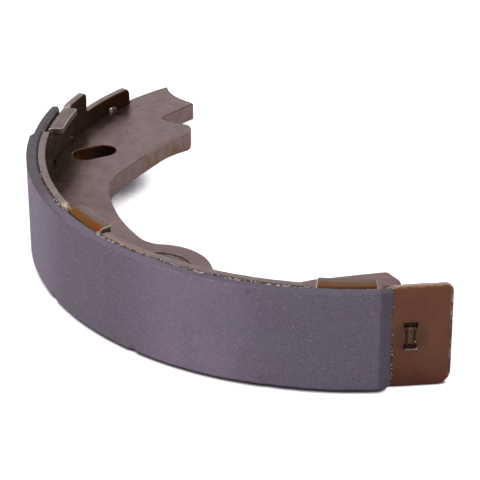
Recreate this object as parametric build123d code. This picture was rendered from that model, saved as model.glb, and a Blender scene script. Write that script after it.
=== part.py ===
from build123d import *
import math
import os

# Brake shoe for an internal expanding drum brake.
# Origin: on the drum's axis, in the middle plane of the web.  +Z runs along that axis.
# The middle of the lining faces -Y.  Lengths are in millimetres.  Angles are in degrees
# about the axis, counted from the middle of the lining, anticlockwise seen from +Z.

# ---------------------------------------------------------------- friction lining
DRUM_RADIUS = 95.0  # friction face
LINING_WIDTH = 29.4
LINING_THICKNESS = 3.2
LINING_HALF_ANGLE = 56.3  # its upper edge is flush with the table's
LEAD_ANGLE = 12.8  # stretch ground lower at the adjuster end
LEAD_DEPTH = 1.0
LEAD_RAMP = 1.8  # slope between the two levels
LEAD_TIP_RADIUS = 1.3  # outer corner of the adjuster end
TRAIL_LENGTH = 2.6  # chamfer at the anchor end
TRAIL_DEPTH = 0.7
WORN_CORNER_LENGTH = 5.0  # rubbed lower corner of the anchor end
WORN_CORNER_HEIGHT = 1.0

# ---------------------------------------------------------------- bond line
FILM_THICKNESS = 0.3
FILM_SETBACK = 0.6  # in from the lining's edges

# ---------------------------------------------------------------- table, bent from sheet
TABLE_THICKNESS = 2.25
TABLE_WIDTH = 30.4
TONGUE_TIP = -80.1  # angle of the bare end by the adjuster
TONGUE_ROOT = -65.5  # angle where the tongue steps up into the horns
TONGUE_WIDTH = 16.2
TONGUE_TIP_RADIUS = 2.1
TONGUE_ROOT_RADIUS = 1.0
HORN_WIDTH = 29.1  # across both horns
HORN_RADIUS = 1.4
HORN_SHOULDER_RADIUS = 4.2
ARC_END = 57.0  # angle where the arc runs out into the straight bare end
FLAT_LENGTH = 15.6  # straight bare end, tangent to the arc
FLAT_TOP_RADIUS = 2.4
FLAT_BOTTOM_RADIUS = 4.0

# Locating tabs bent inwards from both edges of the table
TAB_ANGLES = (-51.4, -4.8, 49.0)
TAB_WIDTH = 16.5
TAB_REACHES = (5.8, 5.5, 5.5)  # from the table's outer face to the tab's inner edge
TAB_BEND_RADIUS = 2.8  # outside of the bend
TAB_CORNER_RADIUS = 0.9
RELIEF_WIDTH = 0.6  # gap punched at each side of a tab
RELIEF_DEPTH = 3.0
SHOULDER_RADIUS = 3.0
FLAT_SHOULDER_RADIUS = 7.6  # the shoulder beside the straight end

# ---------------------------------------------------------------- tenons and their slots
TENON_ANGLES = (-74.8, -58.3, -47.7, -20.0, 7.0, 33.5)
FLAT_TENON_PLACE = 4.4  # along the straight end
TENON_THICKNESS = 2.2
TENON_CLEARANCE = 0.05
TENON_SETBACK = 0.1  # below the table's outer face
STAKE_RADIUS = 0.55  # groove struck into the tenon's end
SLOT_LENGTH = 8.0
SLOT_WAIST_LENGTH = 5.6
SLOT_END_WIDTH = 3.6

# ---------------------------------------------------------------- web
WEB_THICKNESS = 5.5
WEB_FIT = 0.02  # between the web's rim and the table
BAND_DEPTH = 18.53  # these depths are counted inwards from the web's rim
BAND_OVERLAP = 3.0  # how far the head and the nose are drawn into the band
FOOT_ANGLE = 61.9  # radial end face on the anchor side
HEAD_START = -80.6
HEAD_RISE = 1.87  # of the head beyond the table's end, outwards from the rim
SEAT_ANGLE = -91.3  # outer horn of the hollow adjuster seat
SEAT_RADIUS = 20.0
PRONG_OUTER_DEPTH = 13.13
PRONG_INNER_DEPTH = 14.93
PRONG_TIP_ANGLE = -90.4
PRONG_TIP_RADIUS = 0.8
NOTCH_ANGLE = -78.0  # bottom of the notch between prong and lobe
NOTCH_OUTER_DEPTH = 15.83
NOTCH_INNER_DEPTH = 19.43
NOTCH_RADIUS = 1.4
LOBE_TOP_DEPTH = 27.03
LOBE_TOP_ANGLE = -80.2
LOBE_INNER_DEPTH = 31.43
LOBE_INNER_ANGLE = -74.6
LOBE_RADIUS = 3.4
FLANK_DEPTH = 28.33
FLANK_ANGLE = -67.0
FLANK_BEND_RADIUS = 26.0
FLANK_END_ANGLE = -35.8
FLANK_BLEND_RADIUS = 24.0

# Hold-down boss with its coined spring seat
BOSS_DEPTH = 9.13
BOSS_ANGLE = 7.6
BOSS_RADIUS = 16.3
BOSS_BLEND_RADIUS = 9.0
COIN_RADIUS = 11.1
COIN_DEPTH = 0.4
PIN_HOLE_RADIUS = 3.25

# Long slot near the adjuster end
WEB_SLOT_DEPTH = 9.93
WEB_SLOT_ANGLE = -53.9
WEB_SLOT_TILT = 77.4  # its long axis, from +X
WEB_SLOT_WIDTH = 8.1
WEB_SLOT_LENGTH = 13.8

# Nose on the anchor side
NOSE_HEEL_DEPTH = 24.83
NOSE_HEEL_ANGLE = 41.2
NOSE_TIP_DEPTH = 29.33
NOSE_TIP_ANGLE = 60.6
NOSE_CHIN_DEPTH = 24.23
NOSE_CHIN_ANGLE = 62.4
NOSE_CHIN_BLEND = 1.6
NOSE_ROOT_ANGLE = 30.6
NOSE_BLEND_RADIUS = 4.0
NOSE_CORNER_RADIUS = 1.5
NOSE_BEVEL = 1.1  # across the upper edge of the nose's slanted end
NOSE_BEVEL_DROP = 0.5
HOOK_RADIUS = 2.6  # spring-hook notch in the foot's end face
HOOK_PLACE_DEPTH = 18.23
HOOK_DEPTH = 3.4  # from the end face to the notch's centre
HOOK_TOOTH_RADIUS = 2.4

# ---------------------------------------------------------------- worked out from the above
LINING_INNER = DRUM_RADIUS - LINING_THICKNESS
TABLE_OUTER = LINING_INNER - FILM_THICKNESS
TABLE_INNER = TABLE_OUTER - TABLE_THICKNESS
WEB_OUTER = TABLE_INNER - WEB_FIT
BAND_INNER = WEB_OUTER - BAND_DEPTH
TABLE_HALF = TABLE_WIDTH / 2
LINING_LIFT = (TABLE_WIDTH - LINING_WIDTH) / 2
WEB_HALF = WEB_THICKNESS / 2
SLOT_WAIST = TENON_THICKNESS + 2 * TENON_CLEARANCE
OVERCUT = 2.0  # how far a cutter stands clear of what it cuts


def at(radius, angle):
    """Plan point at a radius from the drum's axis and an angle from the lining's middle."""
    turn = math.radians(angle)
    return (radius * math.sin(turn), -radius * math.cos(turn))


def inset(depth, angle):
    """Plan point at a depth under the web's rim and an angle from the lining's middle."""
    return at(WEB_OUTER - depth, angle)


def rim(radius, start, end):
    """Arc about the drum's axis."""
    return ThreePointArc(at(radius, start), at(radius, (start + end) / 2), at(radius, end))


def sector(inner, outer, start, end):
    """Plan face between two radii and two angles."""
    edges = [
        rim(outer, start, end),
        Line(at(outer, end), at(inner, end)),
        rim(inner, end, start),
        Line(at(inner, start), at(outer, start)),
    ]
    return make_face(edges)


def slab(face, width, lift=0.0):
    """Plan face extruded to a width centred on the web's middle plane, or lifted from it."""
    return extrude(Pos(0, 0, lift - width / 2) * face, width)


def wall_plane(angle):
    """Plane that faces outwards at an angle: x runs along the table, y is up, z is radial."""
    along = at(1, angle + 90)
    outward = at(1, angle)
    return Plane(origin=(0, 0, 0), x_dir=(*along, 0), z_dir=(*outward, 0))


def punch(angle, sketch, low, high):
    """Solid that cuts a sketch through the table, between two radii."""
    return extrude(wall_plane(angle).offset(low) * sketch, high - low)


def corner_waste(x, y, radius, into_x, into_y):
    """What a rounded corner at x, y loses; into_x and into_y point into the material."""
    side = radius + OVERCUT
    shift = (radius - OVERCUT) / 2
    square = Pos(x + into_x * shift, y + into_y * shift) * Rectangle(side, side)
    return square - Pos(x + into_x * radius, y + into_y * radius) * Circle(radius)


def shoulder_waste(x, top, radius, floor, into):
    """Waste above a shoulder that rises in an arc from a floor at x; into points into the material."""
    drop = min(radius, top - floor)
    run = math.sqrt(radius**2 - (radius - drop) ** 2)
    height = drop + OVERCUT
    block = Pos(x + into * run / 2, top - drop + height / 2) * Rectangle(run, height)
    return block - Pos(x + into * run, top - radius) * Circle(radius)


def nearest_vertex(shape, point):
    """Vertex of a plan face that lies nearest to a plan point."""
    return min(shape.vertices(), key=lambda v: math.hypot(v.X - point[0], v.Y - point[1]))


def crossing_angle(radius, place_radius, place_angle, circle_radius, side):
    """Angle where a circle centred off the axis crosses a circle about the axis."""
    cosine = radius**2 + place_radius**2 - circle_radius**2
    cosine /= 2 * radius * place_radius
    return place_angle + side * math.degrees(math.acos(cosine))


# ---------------------------------------------------------------- lining and bond line
def make_lining():
    """Moulded friction lining with a lead-in, an end chamfer and one rubbed corner."""
    half = LINING_HALF_ANGLE
    plan = sector(LINING_INNER, DRUM_RADIUS, -half, half)
    low = DRUM_RADIUS - LEAD_DEPTH
    ramp = math.degrees(LEAD_RAMP / DRUM_RADIUS)
    plan -= sector(low, DRUM_RADIUS + OVERCUT, -half - ramp, LEAD_ANGLE - half)
    ramp_points = [
        at(low, LEAD_ANGLE - half - ramp),
        at(low, LEAD_ANGLE - half),
        at(DRUM_RADIUS, LEAD_ANGLE - half + ramp),
        at(DRUM_RADIUS + OVERCUT, LEAD_ANGLE - half + ramp),
        at(DRUM_RADIUS + OVERCUT, LEAD_ANGLE - half - ramp),
    ]
    plan -= make_face(Polyline(*ramp_points, close=True))
    plan = fillet(nearest_vertex(plan, at(low, -half)), LEAD_TIP_RADIUS)
    step = math.degrees(TRAIL_LENGTH / DRUM_RADIUS)
    chamfer_points = [
        at(DRUM_RADIUS, half - step),
        at(DRUM_RADIUS + OVERCUT, half - step),
        at(DRUM_RADIUS + OVERCUT, half + step),
        at(DRUM_RADIUS - TRAIL_DEPTH, half),
    ]
    plan -= make_face(Polyline(*chamfer_points, close=True))
    solid = slab(plan, LINING_WIDTH, LINING_LIFT)

    # The rubbed corner is a long shallow curve along the lower edge.
    foot = LINING_LIFT - LINING_WIDTH / 2
    reach = WORN_CORNER_LENGTH
    rubbed = [
        Spline((-reach, foot), (0, foot + WORN_CORNER_HEIGHT), tangents=[(1, 0), (1, 0.7)]),
        Line((0, foot + WORN_CORNER_HEIGHT), (OVERCUT, foot + WORN_CORNER_HEIGHT)),
        Line((OVERCUT, foot + WORN_CORNER_HEIGHT), (OVERCUT, foot - OVERCUT)),
        Line((OVERCUT, foot - OVERCUT), (-reach, foot - OVERCUT)),
        Line((-reach, foot - OVERCUT), (-reach, foot)),
    ]
    low_radius = LINING_INNER - OVERCUT
    return solid - punch(half, make_face(rubbed), low_radius, DRUM_RADIUS + OVERCUT)


def make_film():
    """Adhesive between the lining and the table, set in from the lining's edges."""
    inset = math.degrees(FILM_SETBACK / LINING_INNER)
    half = LINING_HALF_ANGLE - inset
    plan = sector(TABLE_OUTER, LINING_INNER, -half, half)
    return slab(plan, LINING_WIDTH - 2 * FILM_SETBACK, LINING_LIFT)


# ---------------------------------------------------------------- table
def make_tab(angle, reach):
    """Tab bent inwards from the table's upper edge, with its two plan corners rounded."""
    top = TABLE_HALF
    inner_bend = TAB_BEND_RADIUS - TABLE_THICKNESS
    root = top - RELIEF_DEPTH - TABLE_THICKNESS / 2
    bend_low = top - TAB_BEND_RADIUS
    tip = TABLE_OUTER - reach
    flat_start = TABLE_OUTER - TAB_BEND_RADIUS
    profile = [
        Line((TABLE_INNER, root), (TABLE_OUTER, root)),
        Line((TABLE_OUTER, root), (TABLE_OUTER, bend_low)),
        RadiusArc((TABLE_OUTER, bend_low), (flat_start, top), -TAB_BEND_RADIUS),
        Line((flat_start, top), (tip, top)),
        Line((tip, top), (tip, top - TABLE_THICKNESS)),
        Line((tip, top - TABLE_THICKNESS), (flat_start, top - TABLE_THICKNESS)),
        RadiusArc((flat_start, top - TABLE_THICKNESS), (TABLE_INNER, bend_low), inner_bend),
        Line((TABLE_INNER, bend_low), (TABLE_INNER, root)),
    ]
    span = math.degrees(TAB_WIDTH / TABLE_OUTER)
    start = angle - span / 2
    side = Plane(origin=(0, 0, 0), x_dir=(*at(1, start), 0), z_dir=(*at(1, start - 90), 0))
    solid = revolve(side * make_face(profile), Axis.Z, span)
    plan = sector(tip, TABLE_OUTER + OVERCUT, angle - span / 2, angle + span / 2)
    inner_corners = [nearest_vertex(plan, at(tip, angle + way * span / 2)) for way in (-1, 1)]
    return solid & slab(fillet(inner_corners, TAB_CORNER_RADIUS), TABLE_WIDTH + OVERCUT)


def tab_relief(right_radius):
    """Waste above a tab's root: the two relief gaps and the rounded shoulders beside them."""
    half = TAB_WIDTH / 2 + RELIEF_WIDTH
    floor = TABLE_HALF - RELIEF_DEPTH
    waste = Pos(0, floor + (RELIEF_DEPTH + OVERCUT) / 2) * Rectangle(2 * half, RELIEF_DEPTH + OVERCUT)
    waste += shoulder_waste(half, TABLE_HALF, right_radius, floor, 1)
    waste += shoulder_waste(-half, TABLE_HALF, SHOULDER_RADIUS, floor, -1)
    return waste


def tongue_waste():
    """Waste above the tongue, and the horn's rounded corner; x is counted from the tongue's root."""
    length = TABLE_OUTER * math.sin(math.radians(TONGUE_ROOT - TONGUE_TIP))
    rise = TABLE_HALF + OVERCUT
    half = TONGUE_WIDTH / 2
    waste = Pos(-length / 2 - OVERCUT, (half + rise) / 2) * Rectangle(length + 2 * OVERCUT, rise - half)
    waste = fillet(nearest_vertex(waste, (0, half)), TONGUE_ROOT_RADIUS)
    return waste + corner_waste(0, HORN_WIDTH / 2, HORN_RADIUS, 1, -1)


def horn_waste():
    """Waste between the horn's top and the table's edge, with the shoulder next to the tab."""
    tab_side = TAB_ANGLES[0] - TONGUE_ROOT
    end = TABLE_OUTER * math.sin(math.radians(tab_side)) - TAB_WIDTH / 2 - RELIEF_WIDTH
    rise = TABLE_HALF + OVERCUT - HORN_WIDTH / 2
    waste = Pos(end / 2, HORN_WIDTH / 2 + rise / 2) * Rectangle(end + 2 * OVERCUT, rise)
    floor = TABLE_HALF - RELIEF_DEPTH
    return waste + shoulder_waste(end, HORN_WIDTH / 2, HORN_SHOULDER_RADIUS, floor, -1)


def tenon_slot():
    """Hourglass slot: wide at both ends, pinched on the tenon in the middle."""
    pinch = (SLOT_END_WIDTH - SLOT_WAIST) / 2
    reach = SLOT_WAIST_LENGTH / 2
    bulge = (reach**2 + pinch**2) / (2 * pinch)
    slot = Rectangle(SLOT_END_WIDTH, SLOT_LENGTH)
    for side in (-1, 1):
        slot -= Pos(side * (SLOT_WAIST / 2 + bulge), 0) * Circle(bulge)
    return slot


def make_table():
    """Table: rolled sheet with bent tabs, a stepped tongue and a straight bare end."""
    end = ARC_END
    solid = slab(sector(TABLE_INNER, TABLE_OUTER, TONGUE_TIP, end), TABLE_WIDTH)
    flat = Pos(FLAT_LENGTH / 2, 0) * Rectangle(FLAT_LENGTH, TABLE_WIDTH)
    flat -= corner_waste(FLAT_LENGTH, TABLE_HALF, FLAT_TOP_RADIUS, -1, -1)
    flat -= corner_waste(FLAT_LENGTH, -TABLE_HALF, FLAT_BOTTOM_RADIUS, -1, 1)
    solid += punch(end, flat, TABLE_INNER, TABLE_OUTER)

    low = TABLE_INNER - OVERCUT
    high = TABLE_OUTER + OVERCUT
    tongue_drop = TABLE_OUTER * (1 - math.cos(math.radians(TONGUE_ROOT - TONGUE_TIP)))
    waste = [punch(TONGUE_ROOT, tongue_waste(), low - tongue_drop, high)]
    waste += [punch(TONGUE_ROOT, horn_waste(), low, high)]
    waste += [punch(angle, tab_relief(SHOULDER_RADIUS), low, high) for angle in TAB_ANGLES[:-1]]
    waste += [punch(TAB_ANGLES[-1], tab_relief(FLAT_SHOULDER_RADIUS), low, high)]
    for cutter in waste:
        solid -= cutter
        solid -= mirror(cutter, Plane.XY)
    for way in (-1, 1):
        corner = corner_waste(0, way * TONGUE_WIDTH / 2, TONGUE_TIP_RADIUS, 1, -way)
        solid -= punch(TONGUE_TIP, corner, low, high)
    for angle, reach in zip(TAB_ANGLES, TAB_REACHES):
        tab = make_tab(angle, reach)
        solid += tab
        solid += mirror(tab, Plane.XY)
    for angle in TENON_ANGLES:
        solid -= punch(angle, tenon_slot(), low, high)
    return solid - punch(end, Pos(FLAT_TENON_PLACE, 0) * tenon_slot(), low, high)


# ---------------------------------------------------------------- web
def head_plan():
    """Adjuster end of the web: hollow seat, prong, notch, lobe and the flank into the band."""
    horn = inset(-HEAD_RISE, SEAT_ANGLE)
    prong = inset(PRONG_OUTER_DEPTH, PRONG_TIP_ANGLE)
    corners = [
        prong,
        inset(PRONG_INNER_DEPTH, PRONG_TIP_ANGLE),
        inset(NOTCH_OUTER_DEPTH, NOTCH_ANGLE),
        inset(NOTCH_INNER_DEPTH, NOTCH_ANGLE),
        inset(LOBE_TOP_DEPTH, LOBE_TOP_ANGLE),
        inset(LOBE_INNER_DEPTH, LOBE_INNER_ANGLE),
        inset(FLANK_DEPTH, FLANK_ANGLE),
        inset(BAND_DEPTH - BAND_OVERLAP, FLANK_END_ANGLE),
    ]
    radii = [PRONG_TIP_RADIUS, NOTCH_RADIUS, NOTCH_RADIUS, LOBE_RADIUS, LOBE_RADIUS, FLANK_BEND_RADIUS]
    edges = [
        RadiusArc(horn, prong, -SEAT_RADIUS),
        FilletPolyline(*corners, radius=radii),
        Line(corners[-1], at(WEB_OUTER, FLANK_ANGLE)),
        rim(WEB_OUTER, FLANK_ANGLE, HEAD_START),
        Line(at(WEB_OUTER, HEAD_START), inset(-HEAD_RISE, HEAD_START)),
        rim(WEB_OUTER + HEAD_RISE, HEAD_START, SEAT_ANGLE),
    ]
    return make_face(edges)


def foot_plan():
    """Anchor end of the web: the straight foot on the bare end, and the nose inside it."""
    end = ARC_END
    reach = WEB_OUTER * math.tan(math.radians(FOOT_ANGLE - end))
    along = at(1, end + 90)
    rim_end = at(WEB_OUTER, end)
    foot = (rim_end[0] + along[0] * reach, rim_end[1] + along[1] * reach)
    corners = [
        foot,
        inset(NOSE_CHIN_DEPTH, NOSE_CHIN_ANGLE),
        inset(NOSE_TIP_DEPTH, NOSE_TIP_ANGLE),
        inset(NOSE_HEEL_DEPTH, NOSE_HEEL_ANGLE),
        inset(BAND_DEPTH - BAND_OVERLAP, NOSE_ROOT_ANGLE),
    ]
    edges = [
        FilletPolyline(*corners, radius=[NOSE_CHIN_BLEND, NOSE_CORNER_RADIUS, NOSE_BLEND_RADIUS]),
        Line(corners[-1], rim_end),
        Line(rim_end, foot),
    ]
    return make_face(edges)


def hook_notch():
    """Notch that a spring's hook drops into, open through the foot's end face."""
    place = WEB_OUTER - HOOK_PLACE_DEPTH
    middle = FOOT_ANGLE - math.degrees(HOOK_DEPTH / place)
    length = HOOK_DEPTH + OVERCUT
    notch = Circle(HOOK_RADIUS) + Pos(length / 2, 0) * Rectangle(length, 2 * HOOK_RADIUS)
    return Rot(0, 0, middle) * Pos(0, -place) * notch


def nose_bevel():
    """Wedge that bevels the upper edge of the nose's slanted end."""
    tip = Vector(*inset(NOSE_TIP_DEPTH, NOSE_TIP_ANGLE), WEB_HALF)
    chin = Vector(*inset(NOSE_CHIN_DEPTH, NOSE_CHIN_ANGLE), WEB_HALF)
    along = chin - tip
    outward = along.cross(Vector(0, 0, -1)).normalized()
    section = Polyline((-NOSE_BEVEL, 0), (0, -NOSE_BEVEL_DROP), (OVERCUT, 0), close=True)
    end_plane = Plane(origin=tip - along, x_dir=outward, z_dir=along)
    return extrude(end_plane * make_face(section), 3 * along.length)


def web_plan():
    """Outline of the web, before its holes."""
    plan = sector(BAND_INNER, WEB_OUTER, FLANK_ANGLE, ARC_END)
    boss = Pos(*inset(BOSS_DEPTH, BOSS_ANGLE)) * Circle(BOSS_RADIUS)
    plan += boss & Circle(WEB_OUTER)
    plan += foot_plan()
    plan += head_plan()
    plan -= hook_notch()
    plan = fillet(nearest_vertex(plan, inset(HOOK_PLACE_DEPTH + HOOK_RADIUS, FOOT_ANGLE)), HOOK_TOOTH_RADIUS)
    for side in (-1, 1):
        angle = crossing_angle(BAND_INNER, WEB_OUTER - BOSS_DEPTH, BOSS_ANGLE, BOSS_RADIUS, side)
        plan = fillet(nearest_vertex(plan, inset(BAND_DEPTH, angle)), BOSS_BLEND_RADIUS)
    plan = fillet(nearest_vertex(plan, inset(BAND_DEPTH, FLANK_END_ANGLE)), FLANK_BLEND_RADIUS)
    return fillet(nearest_vertex(plan, inset(BAND_DEPTH, NOSE_ROOT_ANGLE)), NOSE_BLEND_RADIUS)


def make_tenon(angle, place):
    """Tenon through one slot of the table, with a groove struck into its end."""
    root = WEB_OUTER - OVERCUT
    tip = TABLE_OUTER - TENON_SETBACK
    face = Pos(place, 0) * Rectangle(TENON_THICKNESS, WEB_THICKNESS)
    tenon = punch(angle, face, root, tip)
    groove = Cylinder(STAKE_RADIUS, WEB_THICKNESS + OVERCUT)
    return tenon - wall_plane(angle) * Pos(place, 0, tip) * Rot(90, 0, 0) * groove


def make_web():
    """Web: blanked plate with a hold-down boss, a long slot, a hooked nose and its tenons."""
    solid = slab(web_plan(), WEB_THICKNESS) - nose_bevel()
    boss = Pos(*inset(BOSS_DEPTH, BOSS_ANGLE))
    coin = extrude(Pos(0, 0, WEB_HALF - COIN_DEPTH) * boss * Circle(COIN_RADIUS), COIN_DEPTH + OVERCUT)
    solid -= coin
    solid -= slab(boss * Circle(PIN_HOLE_RADIUS), WEB_THICKNESS + OVERCUT)
    slot = SlotOverall(WEB_SLOT_LENGTH, WEB_SLOT_WIDTH, rotation=WEB_SLOT_TILT)
    solid -= slab(Pos(*inset(WEB_SLOT_DEPTH, WEB_SLOT_ANGLE)) * slot, WEB_THICKNESS + OVERCUT)
    for angle in TENON_ANGLES:
        solid += make_tenon(angle, 0)
    return solid + make_tenon(ARC_END, FLAT_TENON_PLACE)


if __name__ == "__main__":
    os.makedirs("parts", exist_ok=True)
    pieces = {
        "lining": make_lining(),
        "adhesive_film": make_film(),
        "table": make_table(),
        "web": make_web(),
    }
    for name, piece in pieces.items():
        export_step(piece, f"parts/{name}.step")
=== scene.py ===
"""Brake shoe: its finished pieces, its finishes and the studio, built around the packed model."""

import math
import random
from types import SimpleNamespace

import bpy
from mathutils import Matrix, Vector, noise
from mathutils.geometry import delaunay_2d_cdt


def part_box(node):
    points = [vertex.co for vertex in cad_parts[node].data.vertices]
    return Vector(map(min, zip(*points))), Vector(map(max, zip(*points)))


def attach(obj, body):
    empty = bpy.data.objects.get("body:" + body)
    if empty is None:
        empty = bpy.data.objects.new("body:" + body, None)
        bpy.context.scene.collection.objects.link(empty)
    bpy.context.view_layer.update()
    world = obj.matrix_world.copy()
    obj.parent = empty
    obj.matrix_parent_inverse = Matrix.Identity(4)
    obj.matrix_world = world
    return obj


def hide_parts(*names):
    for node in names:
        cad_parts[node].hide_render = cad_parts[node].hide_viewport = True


bl_info = {
    "name": "Brake shoe",
    "version": (1, 0, 0),
    "blender": (4, 5, 0),
    "location": "View3D > Sidebar > Brake shoe",
    "description": "Builds a drum brake shoe with its lining, table, web and studio",
    "category": "Object",
}

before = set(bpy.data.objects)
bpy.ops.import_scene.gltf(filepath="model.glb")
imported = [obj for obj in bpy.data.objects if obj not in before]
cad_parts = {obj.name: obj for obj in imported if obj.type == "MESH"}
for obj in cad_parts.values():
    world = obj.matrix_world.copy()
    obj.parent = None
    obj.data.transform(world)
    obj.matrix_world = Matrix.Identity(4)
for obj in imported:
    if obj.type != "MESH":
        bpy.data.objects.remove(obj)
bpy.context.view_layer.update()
MM = 0.001
SAME_POINT = 1e-7
SHARPEST = 0.5  # least cosine of half a corner's turn: an offset corner reaches twice the inset at most
NORMAL_WEIGHT = 80
KEY_DIGITS = 4
SAME_LEVEL = 1e-6

# ---------------------------------------------------------------- sizes read from the packed model, in metres


def plan_radius(point):
    """Distance of a point from the drum's axis."""
    return math.hypot(point[0], point[1])


def node_radii(node):
    """Smallest and largest distance of a node's points from the drum's axis."""
    radii = [plan_radius(v.co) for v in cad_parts[node].data.vertices]
    return min(radii), max(radii)


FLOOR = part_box("table")[0].z
TABLE_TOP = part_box("table")[1].z
WEB_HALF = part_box("web")[1].z
LINING_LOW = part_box("lining")[0].z
LINING_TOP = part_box("lining")[1].z
LINING_INNER, LINING_OUTER = node_radii("lining")
TABLE_OUTER = node_radii("adhesive_film")[0]

# ---------------------------------------------------------------- sizes of the sheet and its tabs, in metres
SHEET = 2.25 * MM  # thickness of the table
TONGUE_TIP = -80.1
TONGUE_ROOT = -65.5
TONGUE_HALF = 8.1 * MM
TONGUE_TIP_ROUND = 2.1 * MM
TONGUE_ROOT_ROUND = 1.0 * MM
HORN_HALF = 14.55 * MM
HORN_ROUND = 1.4 * MM
HORN_SHOULDER = 4.2 * MM
ARC_END = 57.0
FLAT_LENGTH = 15.6 * MM
FLAT_TOP_ROUND = 2.4 * MM
FLAT_BOTTOM_ROUND = 4.0 * MM
TAB_ANGLES = (-51.4, -4.8, 49.0)
TAB_REACHES = (5.8 * MM, 5.5 * MM, 5.5 * MM)
TAB_HALF = 8.25 * MM
TAB_BEND = 2.8 * MM
TAB_CORNER = 0.9 * MM
RELIEF_GAP = 0.6 * MM
RELIEF_DEPTH = 3.0 * MM
SHOULDER = 3.0 * MM
FLAT_SHOULDER = 7.6 * MM
SLOT_ANGLES = (-74.8, -58.3, -47.7, -20.0, 7.0, 33.5)
FLAT_SLOT_PLACE = 4.4 * MM
SLOT_HALF_WIDTH = 1.8 * MM
SLOT_HALF_LENGTH = 4.0 * MM
SLOT_WAIST = 1.15 * MM
SLOT_WAIST_REACH = 2.8 * MM
BOSS_RADIUS_PLACE = 80.1 * MM
BOSS_ANGLE = 7.6
COIN_RADIUS = 11.1 * MM
COIN_DEPTH = 0.4 * MM
NOSE_TIP = (59.9 * MM, 60.6)
NOSE_CHIN = (65.0 * MM, 62.4)
LINING_HALF_ANGLE = 56.3
LEAD_ANGLE = 12.8
LEAD_DEPTH = 1.0 * MM
LEAD_RAMP = 1.8 * MM
TRAIL_LENGTH = 2.6 * MM
TRAIL_DEPTH = 0.7 * MM
RUBBED_LENGTH = 3.2 * MM
RUBBED_HEIGHT = 0.7 * MM


# ---------------------------------------------------------------- plan helpers
def clamped(value):
    """A value kept between 0 and 1."""
    return min(1.0, max(0.0, value))


def wander(place, waves):
    """Smooth random number from -1 to 1 that follows a place; waves are its bumps in a metre."""
    return noise.noise(Vector(place) * waves)


def at(radius, angle, height=0.0):
    """Point at a radius and an angle about the drum's axis, counted from the lining's middle."""
    turn = math.radians(angle)
    return Vector((radius * math.sin(turn), -radius * math.cos(turn), height))


def arc_points(centre, radius, start, end, steps):
    """Points on an arc from one angle to another, in degrees from +X."""
    turns = [math.radians(start + (end - start) * k / steps) for k in range(steps + 1)]
    return [(centre[0] + radius * math.cos(t), centre[1] + radius * math.sin(t)) for t in turns]


def refined(loop, longest):
    """The loop with its long edges divided."""
    points = []
    for k, start in enumerate(loop):
        end = loop[(k + 1) % len(loop)]
        length = math.dist(start, end)
        if length < SAME_POINT:
            continue
        parts = max(1, math.ceil(length / longest))
        for part in range(parts):
            points.append(tuple(a + (b - a) * (part / parts) for a, b in zip(start, end)))
    return points


def area(loop):
    """Signed area of a loop, positive where it runs anticlockwise."""
    total = 0.0
    for k, (x, y) in enumerate(loop):
        nx, ny = loop[(k + 1) % len(loop)]
        total += x * ny - nx * y
    return total / 2


def inward(loop):
    """Unit offset of each point of a loop into the material, which lies to its left."""
    offsets = []
    for k, here in enumerate(loop):
        before = Vector(here) - Vector(loop[k - 1])
        after = Vector(loop[(k + 1) % len(loop)]) - Vector(here)
        first = before.orthogonal().normalized()
        middle = (first + after.orthogonal().normalized()).normalized()
        offsets.append(middle / max(SHARPEST, middle.dot(first)))
    return offsets


def crossings(loops, y):
    """Where loops cross a level line."""
    found = []
    for loop in loops:
        for k, (x2, y2) in enumerate(loop):
            x1, y1 = loop[k - 1]
            if (y1 > y) != (y2 > y):
                found.append(x1 + (y - y1) * (x2 - x1) / (y2 - y1))
    return found


def inside(point, loops):
    """True where a point lies in the loops."""
    return sum(cross > point[0] for cross in crossings(loops, point[1])) % 2 == 1


# ---------------------------------------------------------------- plates with rounded edges
def cap_faces(loops, seeds, lines):
    """Points and triangles that fill the loops, with seed points and extra lines inside them."""
    points = []
    edges = []
    for loop in list(loops) + list(lines):
        start = len(points)
        points += [Vector(p) for p in loop]
        edges += [(start + k, start + (k + 1) % len(loop)) for k in range(len(loop))]
    points += [Vector(p) for p in seeds]
    ring = list(range(len(loops[0])))
    coords, _, triangles, origins, _, _ = delaunay_2d_cdt(points, edges, [ring], 1, 1e-9)
    holes = loops[1:]
    kept = []
    for triangle in triangles:
        middle = sum((coords[k] for k in triangle), Vector((0, 0))) / len(triangle)
        if not inside(middle, holes):
            kept.append(list(triangle))
    return coords, kept, origins


def seed_grid(loops, spacing, margin, region=None):
    """Points on a grid inside the loops, clear of their edges by a margin."""
    walls = [Vector(p) for loop in loops for p in loop]
    low_x, high_x = min(p[0] for p in loops[0]), max(p[0] for p in loops[0])
    low_y, high_y = min(p[1] for p in loops[0]), max(p[1] for p in loops[0])
    cell = max(margin, spacing)
    near = {}
    for wall in walls:
        near.setdefault((int(wall.x // cell), int(wall.y // cell)), []).append(wall)
    seeds = []
    for row in range(1, int((high_y - low_y) / spacing) + 1):
        y = low_y + row * spacing
        found = crossings(loops, y)
        for column in range(1, int((high_x - low_x) / spacing) + 1):
            x = low_x + (column + 0.5 * (row % 2)) * spacing
            if sum(cross < x for cross in found) % 2 == 0 or (region and not region(x, y)):
                continue
            around = [(int(x // cell) + i, int(y // cell) + j) for i in (-1, 0, 1) for j in (-1, 0, 1)]
            close = [wall for home in around for wall in near.get(home, [])]
            if all((wall.x - x) ** 2 + (wall.y - y) ** 2 > margin**2 for wall in close):
                seeds.append((x, y))
    return seeds


def placed(name, data):
    """Object that holds the data, linked to the scene."""
    thing = bpy.data.objects.new(name, data)
    bpy.context.scene.collection.objects.link(thing)
    return thing


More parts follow.
